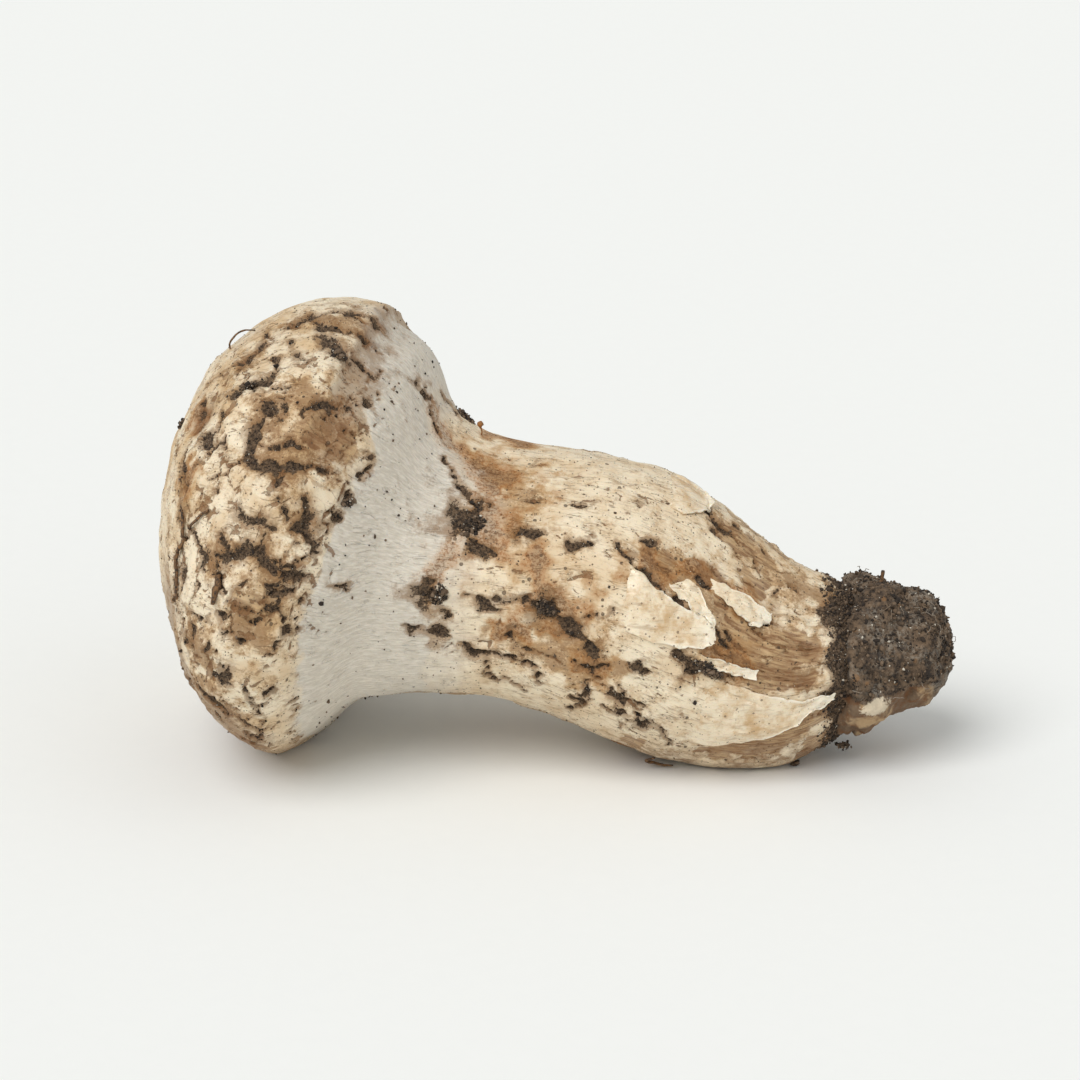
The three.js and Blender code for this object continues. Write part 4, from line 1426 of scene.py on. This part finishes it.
class OBJECT_OT_earth_crust_piece(MushroomOperator, bpy.types.Operator):
    """Earth caked round the foot, with the threads that bind it"""

    bl_idname = "object.earth_crust_piece"
    bl_label = "Earth Crust"

    def execute(self, context):
        look = context.scene.mushroom_colours
        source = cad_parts["earth_crust"]
        only(source)
        bpy.ops.object.duplicate()
        piece = named("caked_earth")
        bpy.ops.object.mode_set(mode="EDIT")
        bpy.ops.mesh.select_all(action="SELECT")
        bpy.ops.mesh.remove_doubles(threshold=1e-6)
        bpy.ops.object.mode_set(mode="OBJECT")
        modifier = piece.modifiers.new("Even mesh", "REMESH")
        modifier.mode = "VOXEL"
        modifier.voxel_size = CRUST_VOXEL * MM
        apply_modifiers(piece)
        points = read_points(piece) / MM
        axis = np.array(CRUST_MIDDLE)
        outward = points - axis
        outward[:, 0] *= 0.35
        outward /= np.maximum(np.linalg.norm(outward, axis=1, keepdims=True), 1e-6)
        lumps = 0.6 * fractal(points, 4.0, 301, 3) + 0.42 * fractal(points, 1.5, 302, 3)
        lumps -= 1.9 * (1.0 - smoothstep(*CRUST_EDGE, points[:, 0] + 2.6 * fractal(points, 3.2, 303, 3)))
        points += outward * lumps[:, None]
        move_points(piece, points * MM)
        turn = np.degrees(np.arctan2(axis[1] - points[:, 1], points[:, 2] - axis[2])) % 360.0
        low_side = smoothstep(95.0, 120.0, turn) * (1.0 - smoothstep(230.0, 260.0, turn))
        write_mark(piece, "skin_side", low_side * (1.0 - smoothstep(54.0, 59.0, points[:, 0])))
        flake = 0.62 * np.exp(-(((points[:, 0] - 47.5) / 3.6) ** 2) - ((turn - 112.0) / 11.0) ** 2)
        write_mark(piece, "flake", flake)
        dress(piece, crust_material(look), "earth", "earth_crust")

        rng = np.random.default_rng(9)
        normals = np.array([vertex.normal for vertex in piece.data.vertices])
        dark = np.flatnonzero((low_side < 0.5) & (points[:, 0] > 43.5))
        pick = rng.choice(dark, EARTH_CRUMBS)
        size = np.clip(0.15 * np.exp(rng.normal(0.0, 0.5, len(pick))), 0.06, 0.5)
        middles = points[pick] + normals[pick] * (0.3 * size)[:, None]
        crumbs = heap("crumbs_on_earth", middles, size, rng)
        dress(crumbs, crumb_material(look), "earth")
        strands = bound_threads(points, normals, dark, rng)
        dress(strands, bark_material("earth_threads", look.soil_light, look.mould), "rootlet")
        return {"FINISHED"}


def bound_threads(points, normals, starts, rng):
    """Fine pale threads that curl over the earth, joined into one piece."""
    pieces = []
    for number in range(CRUST_THREADS):
        start = rng.choice(starts)
        place, normal = points[start], normals[start]
        side = np.cross(normal, rng.normal(size=3))
        side /= np.linalg.norm(side)
        length = rng.uniform(1.0, 3.0)
        share = np.linspace(0.0, 1.0, 6)
        curl = rng.normal(0.0, 0.35, (6, 3)).cumsum(axis=0) * 0.5
        line = place + side * (share * length)[:, None] + curl
        line += normal * (0.1 + 0.45 * np.sin(share * math.pi))[:, None]
        pieces.append(thread(f"strand_{number}", line, 0.05 * np.ones(6), sides=0))
    bpy.ops.object.select_all(action="DESELECT")
    for piece in pieces:
        piece.select_set(True)
    bpy.context.view_layer.objects.active = pieces[0]
    bpy.ops.object.join()
    return named("threads_on_earth")


class OBJECT_OT_mushroom_litter(MushroomOperator, bpy.types.Operator):
    """Rootlets, a needle, a seed husk and a root's stub that cling to the skin"""

    bl_idname = "object.mushroom_litter"
    bl_label = "Forest Litter"

    def execute(self, context):
        look = context.scene.mushroom_colours
        skin, _ = self.shaped(context.scene)
        root = bark_material("rootlet_bark", look.soil_dark, look.fibril)
        husk = bark_material("husk_shell", look.fibril, look.rust)
        for number, (name, (radius, places)) in enumerate(ROOTLETS.items()):
            table = np.array(places, float)
            fine = spline(table, np.linspace(0.0, len(table) - 1.0, 26))
            line = skin.look_up(skin.points, fine[:, :2])
            line += skin.look_up(skin.normals, fine[:, :2]) * fine[:, 2:]
            share = np.linspace(0.0, 1.0, len(line))
            line += 0.12 * np.stack([value_noise(line, 1.3, 400 + number + k) for k in range(3)], axis=1)
            radii = radius * (0.45 + 0.6 * np.sin(math.pi * (0.12 + 0.8 * share)))
            radii *= 1.0 + 0.18 * value_noise(line, 0.6, 410 + number)
            line[:, 2] = np.maximum(line[:, 2], radii)
            dress(thread(f"{name}_bark", line, radii), root, "rootlet", name)
        low, high = (np.array(corner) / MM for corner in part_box("husk_on_stalk"))
        foot, top = np.array([high[0] - 0.3, (low[1] + high[1]) / 2, low[2]]), high - (0.4, 0.4, 0.9)
        share = np.linspace(0.0, 1.0, 16)
        line = foot + (top - foot) * share[:, None]
        line[:, 0] += 0.1 * np.sin(share * 7.0)
        bulge = 0.42 * np.exp(-(((share - 0.78) / 0.17) ** 2))
        stalk = thread("husk_with_stalk", line, 0.12 + bulge * (share < 0.99), sides=3)
        dress(stalk, husk, "husk", "husk_on_stalk")
        low, high = (np.array(corner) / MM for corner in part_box("root_stub"))
        foot, top = np.array([low[0] + 0.4, (low[1] + high[1]) / 2, low[2] - 0.6]), high - 0.3
        line = foot + (top - foot) * share[:, None]
        radii = 0.36 * (1.0 - 0.3 * share) * (1.0 + 0.15 * np.sin(9.0 * share))
        dress(thread("root_stub_bark", line, radii), root, "rootlet", "root_stub")
        return {"FINISHED"}


class SCENE_OT_mushroom_stage(bpy.types.Operator):
    """Pale floor, soft light and the camera"""

    bl_idname = "scene.mushroom_stage"
    bl_label = "Stage, Light and Camera"

    def execute(self, context):
        scene = context.scene
        look = scene.mushroom_colours
        bpy.ops.object.select_all(action="DESELECT")
        bpy.ops.mesh.primitive_plane_add(size=8.0)
        floor = named("floor")
        floor.data.materials.append(floor_material(look))
        world = bpy.data.worlds.new("soft_room")
        scene.world = world
        world.use_nodes = True
        tree = world.node_tree
        background = tree.nodes["Background"].inputs
        background["Color"].default_value = rgba(look.floor)
        # To the camera, the room looks as pale as the floor.
        seen = put(tree, "ShaderNodeLightPath").outputs["Is Camera Ray"]
        extra = times(tree, seen, 1.0 - ROOM_LIGHT)
        tree.links.new(plus(tree, extra, ROOM_LIGHT), background["Strength"])
        low, high = (np.array(corner) for corner in CAD_BOX)
        target = (low + high) / 2.0 + np.array(AIM) * MM
        for name, azimuth, elevation, width, strength in LIGHTS:
            spot = target + direction_at(azimuth, elevation)
            bpy.ops.object.light_add(type="SUN", location=spot)
            light = named(name)
            light.data.angle = math.radians(width)
            light.data.energy = strength
            light.rotation_euler = looking(spot, target)
        spot = target + CAMERA_DISTANCE * MM * direction_at(0.0, CAMERA_ELEVATION)
        bpy.ops.object.camera_add(location=spot, rotation=looking(spot, target))
        camera = named("camera")
        camera.data.lens = CAMERA_LENS
        camera.data.clip_start = 0.01
        scene.camera = camera
        scene.view_settings.view_transform = "Standard"
        return {"FINISHED"}


def direction_at(azimuth, elevation):
    """From the object towards a viewer: azimuth 0 is in front (-Y), positive turns to +X."""
    turn, up = math.radians(azimuth), math.radians(elevation)
    return np.array([math.sin(turn) * math.cos(up), -math.cos(turn) * math.cos(up), math.sin(up)])


def looking(spot, target):
    """The rotation of a light or camera at spot that faces target."""
    return mathutils.Vector(target - spot).to_track_quat("-Z", "Y").to_euler()


class VIEW3D_PT_mushroom(bpy.types.Panel):
    """Lists the pieces and their settings in the sidebar"""

    bl_label = "Matsutake"
    bl_idname = "VIEW3D_PT_mushroom"
    bl_space_type = "VIEW_3D"
    bl_region_type = "UI"
    bl_category = "Matsutake"

    def draw(self, context):
        layout = self.layout
        for group in (context.scene.mushroom_sizes, context.scene.mushroom_colours):
            column = layout.column()
            for name in group.__annotations__:
                column.prop(group, name)
        for operator in OPERATORS:
            layout.operator(operator.bl_idname)


OPERATORS = (
    SCENE_OT_mushroom_stage,
    OBJECT_OT_mushroom_body,
    OBJECT_OT_torn_scales,
    OBJECT_OT_soil_crumbs,
    OBJECT_OT_earth_crust_piece,
    OBJECT_OT_mushroom_litter,
)
CLASSES = (MushroomColours, MushroomSizes, *OPERATORS, VIEW3D_PT_mushroom)


def register():
    for item in CLASSES:
        bpy.utils.register_class(item)
    bpy.types.Scene.mushroom_colours = PointerProperty(type=MushroomColours)
    bpy.types.Scene.mushroom_sizes = PointerProperty(type=MushroomSizes)


def unregister():
    del bpy.types.Scene.mushroom_sizes
    del bpy.types.Scene.mushroom_colours
    for item in reversed(CLASSES):
        bpy.utils.unregister_class(item)


def main():
    register()
    bpy.ops.scene.mushroom_stage()
    bpy.ops.object.mushroom_body()
    bpy.ops.object.torn_scales()
    bpy.ops.object.soil_crumbs()
    bpy.ops.object.earth_crust_piece()
    bpy.ops.object.mushroom_litter()


if __name__ == "__main__":
    main()
